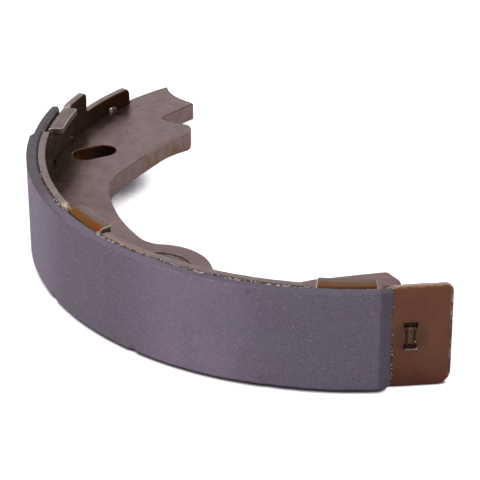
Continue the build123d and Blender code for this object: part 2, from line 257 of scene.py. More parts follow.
def new_piece(name, points, faces, **values):
    """Mesh object with numbers kept on its points."""
    mesh = bpy.data.meshes.new(name)
    mesh.from_pydata(points, [], faces)
    for label, numbers in values.items():
        mesh.attributes.new(label, "FLOAT", "POINT").data.foreach_set("value", numbers)
    mesh.validate()
    return placed(name, mesh)


def plate(name, loops, thickness, place, edge_round, seeds=((), ()), lines=((), ()), steps=3):
    """Mesh object of a plate with rounded edges.

    loops are its outline and holes in flat coordinates, edge_round(x, y, side) is the radius of
    its edge on the front (0) or the back (1), and place(x, y, depth) puts each point in space.
    """
    loops = [loop if (area(loop) > 0) == (k == 0) else loop[::-1] for k, loop in enumerate(loops)]
    vertices = []
    faces = []
    edge_share = []
    wall_share = []
    rows = []
    profile = [(side, step / steps) for side in (0, 1) for step in range(steps + 1)]
    for loop in loops:
        offsets = inward(loop)
        loop_rows = []
        for side, share in profile:
            turn = (1 - share if side else share) * math.pi / 2
            loop_rows.append(range(len(vertices), len(vertices) + len(loop)))
            for (x, y), offset in zip(loop, offsets):
                radius = edge_round(x, y, side)
                inset = radius * (1 - math.sin(turn))
                drop = radius * (1 - math.cos(turn))
                depth = thickness - drop if side else drop
                vertices.append((x + offset.x * inset, y + offset.y * inset, depth))
                edge_share.append(math.sin(2 * turn))
                wall_share.append(math.sin(turn))
        for upper, lower in zip(loop_rows, loop_rows[1:]):
            for k in range(len(upper)):
                n = (k + 1) % len(upper)
                faces.append((upper[k], lower[k], lower[n], upper[n]))
        rows.append(loop_rows)
    for side in (0, 1):
        rims = [loop_rows[-side] for loop_rows in rows]
        rim_loops = [[vertices[k][:2] for k in rim] for rim in rims]
        flat = [k for rim in rims for k in rim]
        coords, triangles, origins = cap_faces(rim_loops, seeds[side], lines[side])
        index = []
        for coord, origin in zip(coords, origins):
            known = [k for k in origin if k < len(flat)]
            if known:
                index.append(flat[known[0]])
            else:
                index.append(len(vertices))
                vertices.append((coord.x, coord.y, side * thickness))
                edge_share.append(0.0)
                wall_share.append(0.0)
        for triangle in triangles:
            corners = [index[k] for k in triangle]
            if len(set(corners)) == len(corners):
                faces.append(corners[::-1] if side else corners)
    values = {"edge": edge_share, "cut": wall_share}
    for axis, label in enumerate(("along", "across", "depth")):
        values[label] = [vertex[axis] / MM for vertex in vertices]
    piece = new_piece(name, [place(*vertex) for vertex in vertices], faces, **values)
    piece.data.shade_smooth()
    weigh = piece.modifiers.new("Even normals", "WEIGHTED_NORMAL")
    weigh.keep_sharp = True
    weigh.weight = NORMAL_WEIGHT
    return piece


def outline(node, level):
    """Loops round a node's faces that lie at one height, the longest first."""
    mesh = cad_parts[node].data
    keys = [tuple(round(c / MM, KEY_DIGITS) for c in v.co) for v in mesh.vertices]
    counts = {}
    for face in mesh.polygons:
        corners = [keys[k] for k in face.vertices]
        if any(abs(corner[2] * MM - level) > SAME_LEVEL for corner in corners):
            continue
        for k, corner in enumerate(corners):
            pair = (corner[:2], corners[(k + 1) % len(corners)][:2])
            counts[pair] = counts.get(pair, 0) + 1
    follow = {a: b for a, b in counts if (b, a) not in counts}
    loops = []
    while follow:
        start, here = follow.popitem()
        loop = [start]
        while here != start:
            loop.append(here)
            here = follow.pop(here)
        loops.append([(x * MM, y * MM) for x, y in loop])
    return sorted(loops, key=lambda loop: -abs(area(loop)))


# ---------------------------------------------------------------- the table
ARC_RUN = TABLE_OUTER * math.radians(ARC_END)
BEND_START = TABLE_TOP - TAB_BEND
NEUTRAL = TAB_BEND - SHEET / 2
BEND_LENGTH = NEUTRAL * math.pi / 2
RELIEF_FLOOR = TABLE_TOP - RELIEF_DEPTH
TAB_PLACES = [TABLE_OUTER * math.radians(angle) for angle in TAB_ANGLES]
SLOT_PLACES = [TABLE_OUTER * math.radians(angle) for angle in SLOT_ANGLES] + [ARC_RUN + FLAT_SLOT_PLACE]
STAKED_PLACES = SLOT_PLACES[:2] + SLOT_PLACES[-1:]
SEAM_END = 76 * MM
# The outer edge's rounding as a share of the inner edge's: along the upper seam, and elsewhere.
SEAM_SHARE = 1.1
OUTER_SHARE = 0.7
EDGE_UNEVEN = 0.35
EDGE_WAVES = 350
BORDER_STEP = 1.2 * MM
SLOT_STEP = 0.8 * MM
# Spacing of the points inside a face, and their margin from its edges.
SHEET_SEEDS = (1.7 * MM, 0.9 * MM)
BEND_SEEDS = (0.6 * MM, 0.45 * MM)
BEND_OVERLAP = 0.3 * MM
# Where the bend's golden film, partly painted reflection, fades in and out, as shares of the bend's length.
FILM_RISE = 0.12
FILM_END = 1.4
FILM_FALL = 0.35


def by_a_tab(run):
    """True where the sheet at a run belongs to a tab."""
    return any(abs(run - place) < TAB_HALF + RELIEF_GAP / 2 for place in TAB_PLACES)


def place_sheet(run, height, depth):
    """Where a point of the flat sheet ends up once the sheet is rolled and its tabs are bent."""
    inset = depth
    lift = abs(height)
    if by_a_tab(run) and lift > BEND_START:
        past = lift - BEND_START
        turn = min(past / NEUTRAL, math.pi / 2)
        ring = TAB_BEND - depth
        inset = TAB_BEND - ring * math.cos(turn) + max(0.0, past - BEND_LENGTH)
        lift = BEND_START + ring * math.sin(turn)
    height = math.copysign(lift, height)
    if run <= ARC_RUN:
        return at(TABLE_OUTER - inset, math.degrees(run / TABLE_OUTER), height)
    return at(TABLE_OUTER - inset, ARC_END, height) + at(1.0, ARC_END + 90) * (run - ARC_RUN)


def shoulder_arc(run, top, radius, way, steps=6):
    """Arc of a shoulder that rises from the relief's floor at run up to top; way is its side."""
    drop = min(radius, top - RELIEF_FLOOR)
    turn = math.acos((radius - drop) / radius)
    reach = radius * math.sin(turn)
    points = []
    for step in range(steps + 1):
        share = turn * step / steps
        points.append((run + way * (reach - radius * math.sin(share)), top - radius * (1 - math.cos(share))))
    return points[::-way]


def sheet_edge():
    """Upper edge of the flat sheet, from the tongue's tip to the straight end."""
    tip = TABLE_OUTER * math.radians(TONGUE_TIP) + TONGUE_TIP_ROUND
    root = TABLE_OUTER * math.radians(TONGUE_ROOT)
    points = arc_points((tip, TONGUE_HALF - TONGUE_TIP_ROUND), TONGUE_TIP_ROUND, 180, 90, 6)
    step = (root - TONGUE_ROOT_ROUND, TONGUE_HALF + TONGUE_ROOT_ROUND)
    points += arc_points(step, TONGUE_ROOT_ROUND, 270, 360, 5)
    points += arc_points((root + HORN_ROUND, HORN_HALF - HORN_ROUND), HORN_ROUND, 180, 90, 6)
    starts = ((HORN_HALF, HORN_SHOULDER), (TABLE_TOP, SHOULDER), (TABLE_TOP, SHOULDER))
    ends = (SHOULDER, SHOULDER, FLAT_SHOULDER)
    for place, reach, start, end in zip(TAB_PLACES, TAB_REACHES, starts, ends):
        outer = TAB_HALF + RELIEF_GAP
        inner = TAB_HALF - TAB_CORNER
        crest = BEND_START + BEND_LENGTH + reach - TAB_BEND - TAB_CORNER
        points += shoulder_arc(place - outer, *start, -1)
        points += [(place - outer, RELIEF_FLOOR), (place - TAB_HALF, RELIEF_FLOOR)]
        points += arc_points((place - inner, crest), TAB_CORNER, 180, 90, 4)
        points += arc_points((place + inner, crest), TAB_CORNER, 90, 0, 4)
        points += [(place + TAB_HALF, RELIEF_FLOOR), (place + outer, RELIEF_FLOOR)]
        points += shoulder_arc(place + outer, TABLE_TOP, end, 1)
    return points


def slot_loop(run, steps=8):
    """Hourglass slot for one tenon."""
    pinch = SLOT_HALF_WIDTH - SLOT_WAIST
    bulge = (SLOT_WAIST_REACH**2 + pinch**2) / (2 * pinch)
    right = [(SLOT_HALF_WIDTH, -SLOT_HALF_LENGTH)]
    for step in range(steps + 1):
        rise = SLOT_WAIST_REACH * (2 * step / steps - 1)
        right.append((SLOT_WAIST + bulge - math.sqrt(bulge**2 - rise**2), rise))
    right.append((SLOT_HALF_WIDTH, SLOT_HALF_LENGTH))
    return [(run + x, y) for x, y in right] + [(run - x, -y) for x, y in right]


def build_table(sizes):
    """Table: the flat sheet with its slots, rolled, with its six tabs bent in."""
    end = ARC_RUN + FLAT_LENGTH
    upper = sheet_edge()
    top_corner = arc_points((end - FLAT_TOP_ROUND, TABLE_TOP - FLAT_TOP_ROUND), FLAT_TOP_ROUND, 90, 0, 7)
    low_centre = (end - FLAT_BOTTOM_ROUND, FLAT_BOTTOM_ROUND - TABLE_TOP)
    low_corner = arc_points(low_centre, FLAT_BOTTOM_ROUND, 0, -90, 9)
    lower = [(x, -y) for x, y in upper][::-1]
    loops = [refined(upper + top_corner + low_corner + lower, BORDER_STEP)]
    loops += [refined(slot_loop(place), SLOT_STEP) for place in SLOT_PLACES]

    def edge_round(run, height, side):
        """Radius of the sheet's edge: the press rolls the inner side over more."""
        uneven = 1 + EDGE_UNEVEN * wander((run, height, side), EDGE_WAVES)
        if side == 1 and run > ARC_RUN and height > RELIEF_FLOOR:
            return sizes.bare_end_round * uneven
        if side == 0 and 0 < run < SEAM_END and height > RELIEF_FLOOR:
            return SEAM_SHARE * sizes.sheet_round * uneven
        return (sizes.sheet_round if side == 1 else OUTER_SHARE * sizes.sheet_round) * uneven

    coarse = seed_grid(loops, *SHEET_SEEDS)
    fine = seed_grid(loops, *BEND_SEEDS, lambda x, y: abs(y) > BEND_START - BEND_OVERLAP)
    seeds = [p for p in coarse if abs(p[1]) <= BEND_START - SHEET_SEEDS[1]] + fine
    table = plate("shoe_table", loops, SHEET, place_sheet, edge_round, (seeds, seeds))
    mesh = table.data
    # Masks of the tabs and of their bends; the bends' mask places the golden film, partly painted reflection.
    bends = []
    tabs = []
    for along, across in zip(mesh.attributes["along"].data, mesh.attributes["across"].data):
        past = (abs(across.value) * MM - BEND_START) / BEND_LENGTH
        rise = clamped(past / FILM_RISE) if by_a_tab(along.value * MM) else 0.0
        tabs.append(rise)
        bends.append(rise * clamped((FILM_END - past) / FILM_FALL))
    for label, values in (("bend", bends), ("tab", tabs)):
        mesh.attributes.new(label, "FLOAT", "POINT").data.foreach_set("value", values)
    return table


# ---------------------------------------------------------------- the web
WEB_RIM = TABLE_OUTER - SHEET - 0.5 * MM  # beyond it the web is inside the table
RIM_ROUND = 0.12 * MM
LOWER_SHARE = 0.6
WEB_UNEVEN = 0.3
WEB_WAVES = 260
WEB_STEP = 2.0 * MM
WEB_SEEDS = (2.5 * MM, 1.2 * MM)
# The nose's rolled edge: how far it starts before its tip, ends past its chin and reaches inwards.
NOSE_BEFORE = 1.2 * MM
NOSE_FADE = 1.5 * MM
NOSE_REACH = 1.5 * MM


def build_web(sizes):
    """Web: the blanked plate, with its coined spring seat and its rolled edges."""
    loops = [refined(loop, WEB_STEP) for loop in outline("web", -WEB_HALF)]
    boss = at(BOSS_RADIUS_PLACE, BOSS_ANGLE).to_2d()
    tip = at(*NOSE_TIP).to_2d()
    chin = at(*NOSE_CHIN).to_2d()

    def nose_share(x, y):
        """How near a point is to the nose's slanted end, from 0 to 1."""
        along = (chin - tip).normalized()
        off = Vector((x, y)) - tip
        run = off.dot(along)
        away = abs(off.cross(along))
        start = clamped((run + NOSE_BEFORE) / NOSE_FADE)
        end = clamped(((chin - tip).length + NOSE_FADE - run) / NOSE_FADE)
        return start * end * clamped((NOSE_REACH - away) / MM)

    def edge_round(x, y, side):
        """Radius of the web's edge: rolled on the upper face, widest on the nose's slanted end."""
        if plan_radius((x, y)) > WEB_RIM:
            return RIM_ROUND
        uneven = 1 + WEB_UNEVEN * wander((x, y, side), WEB_WAVES)
        if side == 1:
            return LOWER_SHARE * sizes.web_round * uneven
        return (sizes.web_round + (sizes.nose_round - sizes.web_round) * nose_share(x, y)) * uneven

    def place(x, y, depth):
        """Height of a point of the plate; the coined seat lies a little lower."""
        off = (Vector((x, y)) - boss).length
        sunk = COIN_DEPTH * clamped((COIN_RADIUS - off) / sizes.coin_slope)
        lower = sunk * clamped(1 - depth / WEB_HALF)
        return Vector((x, y, WEB_HALF - depth - lower))

    seeds = seed_grid(loops, *WEB_SEEDS)
    rings = []
    for radius in (COIN_RADIUS, COIN_RADIUS - sizes.coin_slope):
        ring = arc_points(boss, radius, 0, 360, 72)[:-1]
        rings.append([p for p in ring if plan_radius(p) < WEB_RIM])
    return plate("shoe_web", loops, 2 * WEB_HALF, place, edge_round, (seeds, seeds), (rings, ()))


# ---------------------------------------------------------------- the lining and its bond line
LINING_RUN = LINING_OUTER * math.radians(LINING_HALF_ANGLE)
LEAD_RUN = LINING_OUTER * math.radians(LEAD_ANGLE - LINING_HALF_ANGLE)
HEEL_START = 45 * MM
HEEL_LENGTH = 15 * MM
RUBBED_CURVE = 1.7
GROOVE_ROUND = 0.62 * MM  # the back's upper edge, along the seam
BACK_ROUND = 0.2 * MM  # the back's lower edge
LINING_UNEVEN = 0.5
LINING_WAVES = 260
TEAR = 0.6
LINING_STEP = 0.7 * MM
FRONT_SEEDS = (0.65 * MM, 0.8 * MM)
BACK_SEEDS = (4.0 * MM, 2.0 * MM)
# Bumps of the skin: height, and waves in a metre.
SKIN = ((0.018 * MM, 420), (0.010 * MM, 1500))
CHIP_WAVES = 1300
CHIP_TEAR = 0.45
CHIP_REACH = 1.6
CHIP_RIM = 1.25
CHIP_SLOPE = 1.6
CHIP_STRETCH = 0.8
# Chips and pits: run, height, size and depth, in millimetres.
CHIPS = (
    (-88.5, -14.3, 1.3, 0.5),
    (-66.0, -14.2, 1.5, 0.45),
    (-20.6, -14.2, 1.0, 0.6),
    (18.6, -14.2, 1.2, 0.6),
    (60.5, -14.2, 2.2, 0.3),
    (38.0, 14.4, 0.65, 0.4),
    (31.0, 14.9, 0.5, 0.25),
    (55.8, 13.4, 0.7, 0.4),
    (48.5, 14.6, 0.45, 0.3),
    (-37.2, 13.0, 0.75, 0.35),
    (-12.5, 12.4, 0.6, 0.3),
    (-39.5, 14.9, 0.9, 0.25),
    (20.0, 15.2, 0.8, 0.3),
    (43.0, 15.2, 0.7, 0.25),
)


def lining_skin(run, height):
    """How far the lining's outer face lies under the drum's radius."""
    lead = clamped((LEAD_RUN + LEAD_RAMP - run) / LEAD_RAMP) * LEAD_DEPTH
    trail = max(0.0, (run - LINING_RUN + TRAIL_LENGTH) / TRAIL_LENGTH) * TRAIL_DEPTH
    spot = Vector((run, height, 0))
    rough = sum(bump * (1 + wander(spot, waves)) for bump, waves in SKIN)
    chipped = 0.0
    for chip_run, chip_height, size, depth in CHIPS:
        off = math.hypot(run - chip_run * MM, CHIP_STRETCH * (height - chip_height * MM)) / (size * MM)
        if off < CHIP_REACH:
            edge = off + CHIP_TEAR * wander(spot, CHIP_WAVES)
            chipped = max(chipped, depth * MM * clamped((CHIP_RIM - edge) * CHIP_SLOPE))
    return lead + trail + rough + chipped


def build_lining(sizes):
    """Lining: moulded compound with its lead-in, worn edges, chips and pits."""
    border = [(-LINING_RUN, LINING_LOW)]
    steps = 6
    for step in range(steps + 1):
        share = step / steps
        rise = RUBBED_HEIGHT * share**RUBBED_CURVE
        border.append((LINING_RUN - RUBBED_LENGTH * (1 - share), LINING_LOW + rise))
    border += [(LINING_RUN, LINING_TOP), (-LINING_RUN, LINING_TOP)]
    loop = refined(border, LINING_STEP)
    thickness = LINING_OUTER - LINING_INNER

    def edge_round(run, height, side):
        """Radius of the lining's edge, uneven where it is rubbed and chipped."""
        spot = Vector((run * LINING_WAVES, height * LINING_WAVES, side))
        uneven = 1 + LINING_UNEVEN * noise.noise(spot)
        if side == 1:
            torn = TEAR * noise.noise(Vector((run * 900, height * 200, 5.0)))
            return (GROOVE_ROUND if height > 0 else BACK_ROUND) * (uneven + torn)
        if run < -LINING_RUN + 0.3 * MM:
            return sizes.lead_round * uneven
        if height < 0:
            heel = clamped((run - HEEL_START) / HEEL_LENGTH)
            return (sizes.lining_round + (sizes.foot_round - sizes.lining_round) * heel) * uneven
        return sizes.lining_round * uneven

    def place(run, height, depth):
        """Point of the lining: its skin follows the drum, with the lead-in and the wear."""
        share = 1 - depth / thickness
        radius = LINING_INNER + (thickness - lining_skin(run, height)) * share
        return at(radius, math.degrees(run / LINING_OUTER), height)

    front = seed_grid([loop], *FRONT_SEEDS)
    back = seed_grid([loop], *BACK_SEEDS)
    return plate("shoe_lining", [loop], thickness, place, edge_round, (front, back), steps=4)


# The bead's section, outwards from the lining's bore and up from its edge, in millimetres.
BEAD_SECTION = (
    (0.35, -0.12),
    (-0.3, -0.14),
    (-0.6, -0.3),
    (-0.75, -0.8),
    (-0.6, -1.3),
    (-0.3, -2.4),
    (0.35, -2.4),
)
BEAD_START = -55.9
BEAD_END = -43.9
BEAD_WAVE = 0.16


def build_bead(steps=90):
    """Bead of compound that fills the groove between the lining and the first tab's bend."""
    points = []
    width = len(BEAD_SECTION)
    for step in range(steps + 1):
        share = step / steps
        angle = BEAD_START + (BEAD_END - BEAD_START) * share
        swell = min(1.0, 6 * share, 4 * (1 - share)) ** 0.5
        row = []
        for k, (out, drop) in enumerate(BEAD_SECTION):
            wave = BEAD_WAVE * noise.noise(Vector((angle * 1.3, k * 0.7, 3.0))) if 0 < k < 5 else 0.0
            reach = out * (0.35 + 0.65 * swell) if out < 0 else out
            row.append(at(LINING_INNER + (reach + wave) * MM, angle, TABLE_TOP + (drop + 0.4 * wave) * MM))
        points += row[::-1]
    faces = []
    for start in range(0, steps * width, width):
        for k in range(width):
            a = start + k
            b = start + (k + 1) % width
            faces.append((a, b, b + width, a + width))
    faces.append(tuple(range(width))[::-1])
    faces.append(tuple(range(steps * width, (steps + 1) * width)))
    bead = new_piece("bond_bead", points, faces)
    bead.data.shade_smooth()
    return bead


# Where crumbs lie along the seam, from one angle to another; a stretch may be named twice.
CRUMB_STRETCHES = ((0.6, 12.0), (8.0, 26.0), (8.0, 26.0), (20.0, 43.6), (-15.5, -10.4), (-43.0, 55.8))
CRUMB_SIZES = (0.20 * MM, 0.62 * MM)
CRUMB_SEED = 7
HEEL_CRUMBS = 8  # one crumb in so many lies across the table at the lining's heel
HEEL_STRETCH = (56.35, 56.8)
HEEL_SHARE = 0.6
HEEL_HEIGHTS = (-14.0, 13.8)
SEAM_OFFSETS = (-0.50, 0.60)
TAB_CLEARANCE = 5.3
CRUMB_WIDTHS = (0.6, 1.3)
CRUMB_HEIGHTS = (0.5, 0.95)
CRUMB_CORNERS = ((1, 0, 0), (-1, 0, 0), (0, 1, 0), (0, -1, 0), (0, 0, 1), (0, 0, -1))
CRUMB_FACES = ((0, 2, 4), (2, 1, 4), (1, 3, 4), (3, 0, 4), (2, 0, 5), (1, 2, 5), (3, 1, 5), (0, 3, 5))


def build_crumbs(sizes):
    """Crumbs of compound and adhesive along the seam between the lining and the table."""
    draw = random.Random(CRUMB_SEED)
    points = []
    faces = []
    tones = []
    for number in range(sizes.crumb_count):
        size = draw.uniform(*CRUMB_SIZES) * sizes.crumb_size
        if number % HEEL_CRUMBS == 0:
            angle = draw.uniform(*HEEL_STRETCH)
            size *= HEEL_SHARE
            middle = at(TABLE_OUTER + 0.3 * size, angle, draw.uniform(*HEEL_HEIGHTS) * MM)
        else:
            angle = draw.uniform(*draw.choice(CRUMB_STRETCHES))
            if any(abs(angle - tab) < TAB_CLEARANCE for tab in TAB_ANGLES):
                continue
            radius = LINING_INNER + draw.uniform(*SEAM_OFFSETS) * MM
            sunk = CRUMB_HEIGHTS[1] * size + draw.uniform(0.0, 0.12) * MM
            middle = at(radius, angle, LINING_TOP - sunk)
        tones += [draw.random()] * len(CRUMB_CORNERS)
        faces += [tuple(len(points) + k for k in face) for face in CRUMB_FACES]
        for corner in CRUMB_CORNERS:
            stretch = Vector([draw.uniform(*ends) for ends in (CRUMB_WIDTHS, CRUMB_WIDTHS, CRUMB_HEIGHTS)])
            points.append(middle + Vector(corner) * stretch * size)
    return new_piece("bond_crumbs", points, faces, tone=tones)


HEAD_THICKNESS = 0.8 * MM
HEAD_INSET = 0.14 * MM
HOLLOW_START = 2.5 * MM
HOLLOW_SLOPE = 0.35 * MM
HEAD_DENT = 0.05 * MM
HEAD_WAVES = 1400
HEAD_ROUND = 0.1 * MM
HEAD_STEP = 0.5 * MM
HEAD_SEEDS = (0.3 * MM, 0.25 * MM)
# A head's shares of its slot's width and length; beside the tongue the heads are shorter.
HEAD_WIDTH = 0.94
HEAD_LENGTH = 0.985
TONGUE_HEAD_LENGTH = 0.66


def build_tenon_heads(sizes):
    """Staked heads of the tenons that show: an hourglass face, hollow at both ends."""

    def place(x, y, depth):
        """Point of the head, under the sheet's outer face and lower in the hollows."""
        hollow = clamped((abs(y) - HOLLOW_START) / HOLLOW_SLOPE) * sizes.stake_depth
        dent = HEAD_DENT * wander((x, y, 0), HEAD_WAVES)
        return place_sheet(x, y, HEAD_INSET + hollow + depth + dent)

    def edge_round(x, y, side):
        """Radius of the head's edge."""
        return HEAD_ROUND

    heads = []
    for number, run in enumerate(STAKED_PLACES, 1):
        share = HEAD_LENGTH if run > 0 else TONGUE_HEAD_LENGTH
        loop = [(run + HEAD_WIDTH * (x - run), share * y) for x, y in slot_loop(run)]
        loop = refined(loop, HEAD_STEP)
        seeds = seed_grid([loop], *HEAD_SEEDS)
        name = f"staked_tenon_{number}"
        heads.append(plate(name, [loop], HEAD_THICKNESS, place, edge_round, (seeds, seeds)))
    return heads


# ---------------------------------------------------------------- shader helpers
NUMBER = "NodeSocketFloat"
COLOUR = "NodeSocketColor"
VECTOR = "NodeSocketVector"


class Nodes:
    """Short ways to place and link nodes in one tree; vector is the place on the piece."""

    def __init__(self, tree):
        self.tree = tree
        self.vector = None

    def link(self, value, socket):
        """Feed a socket from another one, or set it to a value."""
        if isinstance(value, bpy.types.NodeSocket):
            self.tree.links.new(value, socket)
        else:
            socket.default_value = value

    def add(self, kind, links=None, **values):
        """A node with its inputs linked or set by name or number, and its properties set."""
        node = self.tree.nodes.new(kind)
        for key, value in values.items():
            setattr(node, key, value)
        for key, value in (links or {}).items():
            self.link(value, node.inputs[key])
        return node

    def math(self, operation, *numbers):
        """A number worked out from others."""
        return self.add("ShaderNodeMath", dict(enumerate(numbers)), operation=operation).outputs[0]

    def product(self, first, *others):
        """Product of numbers."""
        for other in others:
            first = self.math("MULTIPLY", first, other)
        return first

    def largest(self, first, *others):
        """Largest of numbers."""
        for other in others:
            first = self.math("MAXIMUM", first, other)
        return first

    def fit(self, value, low, high, to_low=0.0, to_high=1.0):
        """A value fitted smoothly from one range to another."""
        links = dict(enumerate((value, low, high, to_low, to_high)))
        return self.add("ShaderNodeMapRange", links, interpolation_type="SMOOTHSTEP").outputs[0]

    def mix(self, share, first, second):
        """A colour mixed from two others."""
        return self.add("ShaderNodeMix", {0: share, 6: first, 7: second}, data_type="RGBA").outputs[2]

    def coat(self, colour, shade, *shares):
        """A colour covered by a shade, as far as the product of its shares says."""
        return self.mix(self.product(*shares), colour, shade)

    def value(self, name):
        """A number kept on the mesh's points."""
        return self.add("ShaderNodeAttribute", attribute_name=name).outputs["Fac"]

    def span(self, name, *limits):
        """A number kept on the points, fitted from two limits to 0 and 1, or to two other values."""
        return self.fit(self.value(name), *limits)

    def between(self, name, rise, fall):
        """Mask that rises over one span of a number kept on the points and falls over another."""
        return self.product(self.span(name, *rise), self.span(name, *fall))

    def gap(self, point):
        """Distance from a point."""
        links = {0: self.vector, 1: tuple(point)}
        return self.add("ShaderNodeVectorMath", links, operation="DISTANCE").outputs["Value"]

    def near(self, point, whole, gone):
        """Mask round a point: 1 within one distance and 0 beyond another."""
        return self.fit(self.gap(point), gone, whole)

    def stretched(self, *scale):
        """The vector stretched by a scale for each axis."""
        return self.add("ShaderNodeVectorMath", {0: self.vector, 1: scale}, operation="MULTIPLY").outputs[0]

    def noise(self, scale, detail=3.0, roughness=0.5, distortion=0.0, vector=None):
        """Soft random pattern."""
        links = {"Vector": vector or self.vector, "Scale": scale, "Detail": detail}
        links.update(Roughness=roughness, Distortion=distortion)
        return self.add("ShaderNodeTexNoise", links).outputs["Fac"]

    def effect(self, make, **inputs):
        """Outputs of a shared effect, made the first time it is asked for and placed with its own values."""
        name = make.__name__.replace("_", " ").capitalize()
        group = bpy.data.node_groups.get(name) or make(name)
        return self.add("ShaderNodeGroup", {"Vector": self.vector, **inputs}, node_tree=group).outputs

    def feed(self, shader, colour, height, strength, distance):
        """Give a shader its colour and its bump."""
        self.link(colour, shader.inputs["Base Color"])
        bump = self.add("ShaderNodeBump", {"Height": height, "Strength": strength, "Distance": distance})
        self.link(bump.outputs[0], shader.inputs["Normal"])


def new_effect(name, outputs, **inputs):
    """Node group with a vector and its own values as inputs: its helper, its inputs and its end."""
    group = bpy.data.node_groups.new(name, "ShaderNodeTree")
    group.interface.new_socket("Vector", in_out="INPUT", socket_type=VECTOR)
    for label, default in inputs.items():
        kind = COLOUR if isinstance(default, tuple) else NUMBER
        group.interface.new_socket(label, in_out="INPUT", socket_type=kind).default_value = default
    for label, kind in outputs.items():
        group.interface.new_socket(label, in_out="OUTPUT", socket_type=kind)
    nodes = Nodes(group)
    start = nodes.add("NodeGroupInput").outputs
    nodes.vector = start["Vector"]
    return nodes, start, nodes.add("NodeGroupOutput").inputs


def clouded_film(name):
    """Two colours mixed in soft clouds with finer clouds on top."""
    grey = (0.2, 0.2, 0.2, 1.0)
    outputs = {"Color": COLOUR, "Mask": NUMBER}
    nodes, start, end = new_effect(name, outputs, Scale=60.0, Contrast=0.25, First=grey, Second=grey)
    wide = nodes.noise(start["Scale"], 2.0, 0.5, 0.6)
    fine = nodes.noise(nodes.product(start["Scale"], 9.0), 4.0, 0.6)
    both = nodes.math("MULTIPLY_ADD", fine, 0.35, nodes.product(wide, 0.65))
    low = nodes.math("SUBTRACT", 0.5, start["Contrast"])
    mask = nodes.fit(both, low, nodes.math("ADD", 0.5, start["Contrast"]))
    nodes.link(nodes.mix(mask, start["First"], start["Second"]), end["Color"])
    nodes.link(mask, end["Mask"])
    return nodes.tree


def worn_edges(name):
    """Mask that is uneven along the rounded edges."""
    nodes, start, end = new_effect(name, {"Mask": NUMBER}, Edge=0.0, Scale=500.0, Amount=0.5)
    softness = 0.12
    patchy = nodes.noise(start["Scale"], 4.0, 0.65)
    limit = nodes.math("SUBTRACT", 1.0, start["Amount"])
    low = nodes.math("SUBTRACT", limit, softness)
    shown = nodes.fit(patchy, low, nodes.math("ADD", limit, softness))
    nodes.link(nodes.product(shown, start["Edge"]), end["Mask"])
    return nodes.tree


def fine_scratches(name):
    """Thin broken scratches that run mostly one way; a stretched vector sets their direction."""
    nodes, start, end = new_effect(name, {"Mask": NUMBER}, Scale=300.0, Amount=0.3)
    lines = nodes.noise(start["Scale"], 2.0, 0.5, 0.3)
    ridge = nodes.math("ABSOLUTE", nodes.math("SUBTRACT", lines, 0.5))
    thin = nodes.fit(ridge, nodes.product(start["Amount"], 0.02), 0.0)
    broken = nodes.noise(nodes.product(start["Scale"], 0.35), 2.0)
    nodes.link(nodes.product(thin, nodes.fit(broken, 0.52, 0.62)), end["Mask"])
    return nodes.tree


def fine_grain(name):
    """Fine grains: light specks, dark specks and a height for bump."""
    outputs = dict.fromkeys(("Light", "Dark", "Height"), NUMBER)
    nodes, start, end = new_effect(name, outputs, Scale=1500.0, Specks=0.2)
    links = {"Vector": nodes.vector, "Scale": start["Scale"]}
    cells = nodes.add("ShaderNodeTexVoronoi", links).outputs["Color"]
    pick = nodes.add("ShaderNodeSeparateColor", {0: cells}).outputs
    fine = nodes.noise(nodes.product(start["Scale"], 0.6), 4.0, 0.7)
    limit = nodes.math("SUBTRACT", 1.0, start["Specks"])
    for label, channel, below in (("Light", 0, 0.05), ("Dark", 1, 0.03)):
        low = nodes.math("SUBTRACT", limit, below)
        specks = nodes.fit(pick[channel], low, nodes.math("ADD", limit, 0.03))
        nodes.link(nodes.product(specks, fine), end[label])
    nodes.link(fine, end["Height"])
    return nodes.tree


def new_material(name, base, roughness, metallic=0.0):
    """Material with a Principled shader, its node helper and that shader."""
    material = bpy.data.materials.new(name)
    material.use_nodes = True
    shader = material.node_tree.nodes["Principled BSDF"]
    shader.inputs["Base Color"].default_value = base
    shader.inputs["Roughness"].default_value = roughness
    shader.inputs["Metallic"].default_value = metallic
    nodes = Nodes(material.node_tree)
    nodes.vector = nodes.add("ShaderNodeTexCoord").outputs["Object"]
    return material, nodes, shader


# ---------------------------------------------------------------- finishes
# Where the web's films, its painted highlight and its painted shade lie: distance from the drum's axis, angle
# and, on the upper face, height.
NOSE_FILM = (66 * MM, 54, WEB_HALF)
HOOK_HIGHLIGHT = (66 * MM, -66)
HOOK_WALL = (62 * MM, -70)
CORNER_SHADE = (86 * MM, -44)
LONG_SLOT = (79.3 * MM, -53.9)
# Painted highlights on the table's rim: the rise and the fall of each spot, in millimetres along it.
HIGHLIGHT_SPOTS = (
    ((-74.2, -73.6), (-70.5, -72.0)),
    ((-21.0, -18.5), (-16.0, -17.0)),
    ((-96.0, -93.5), (-89.0, -90.0)),
)


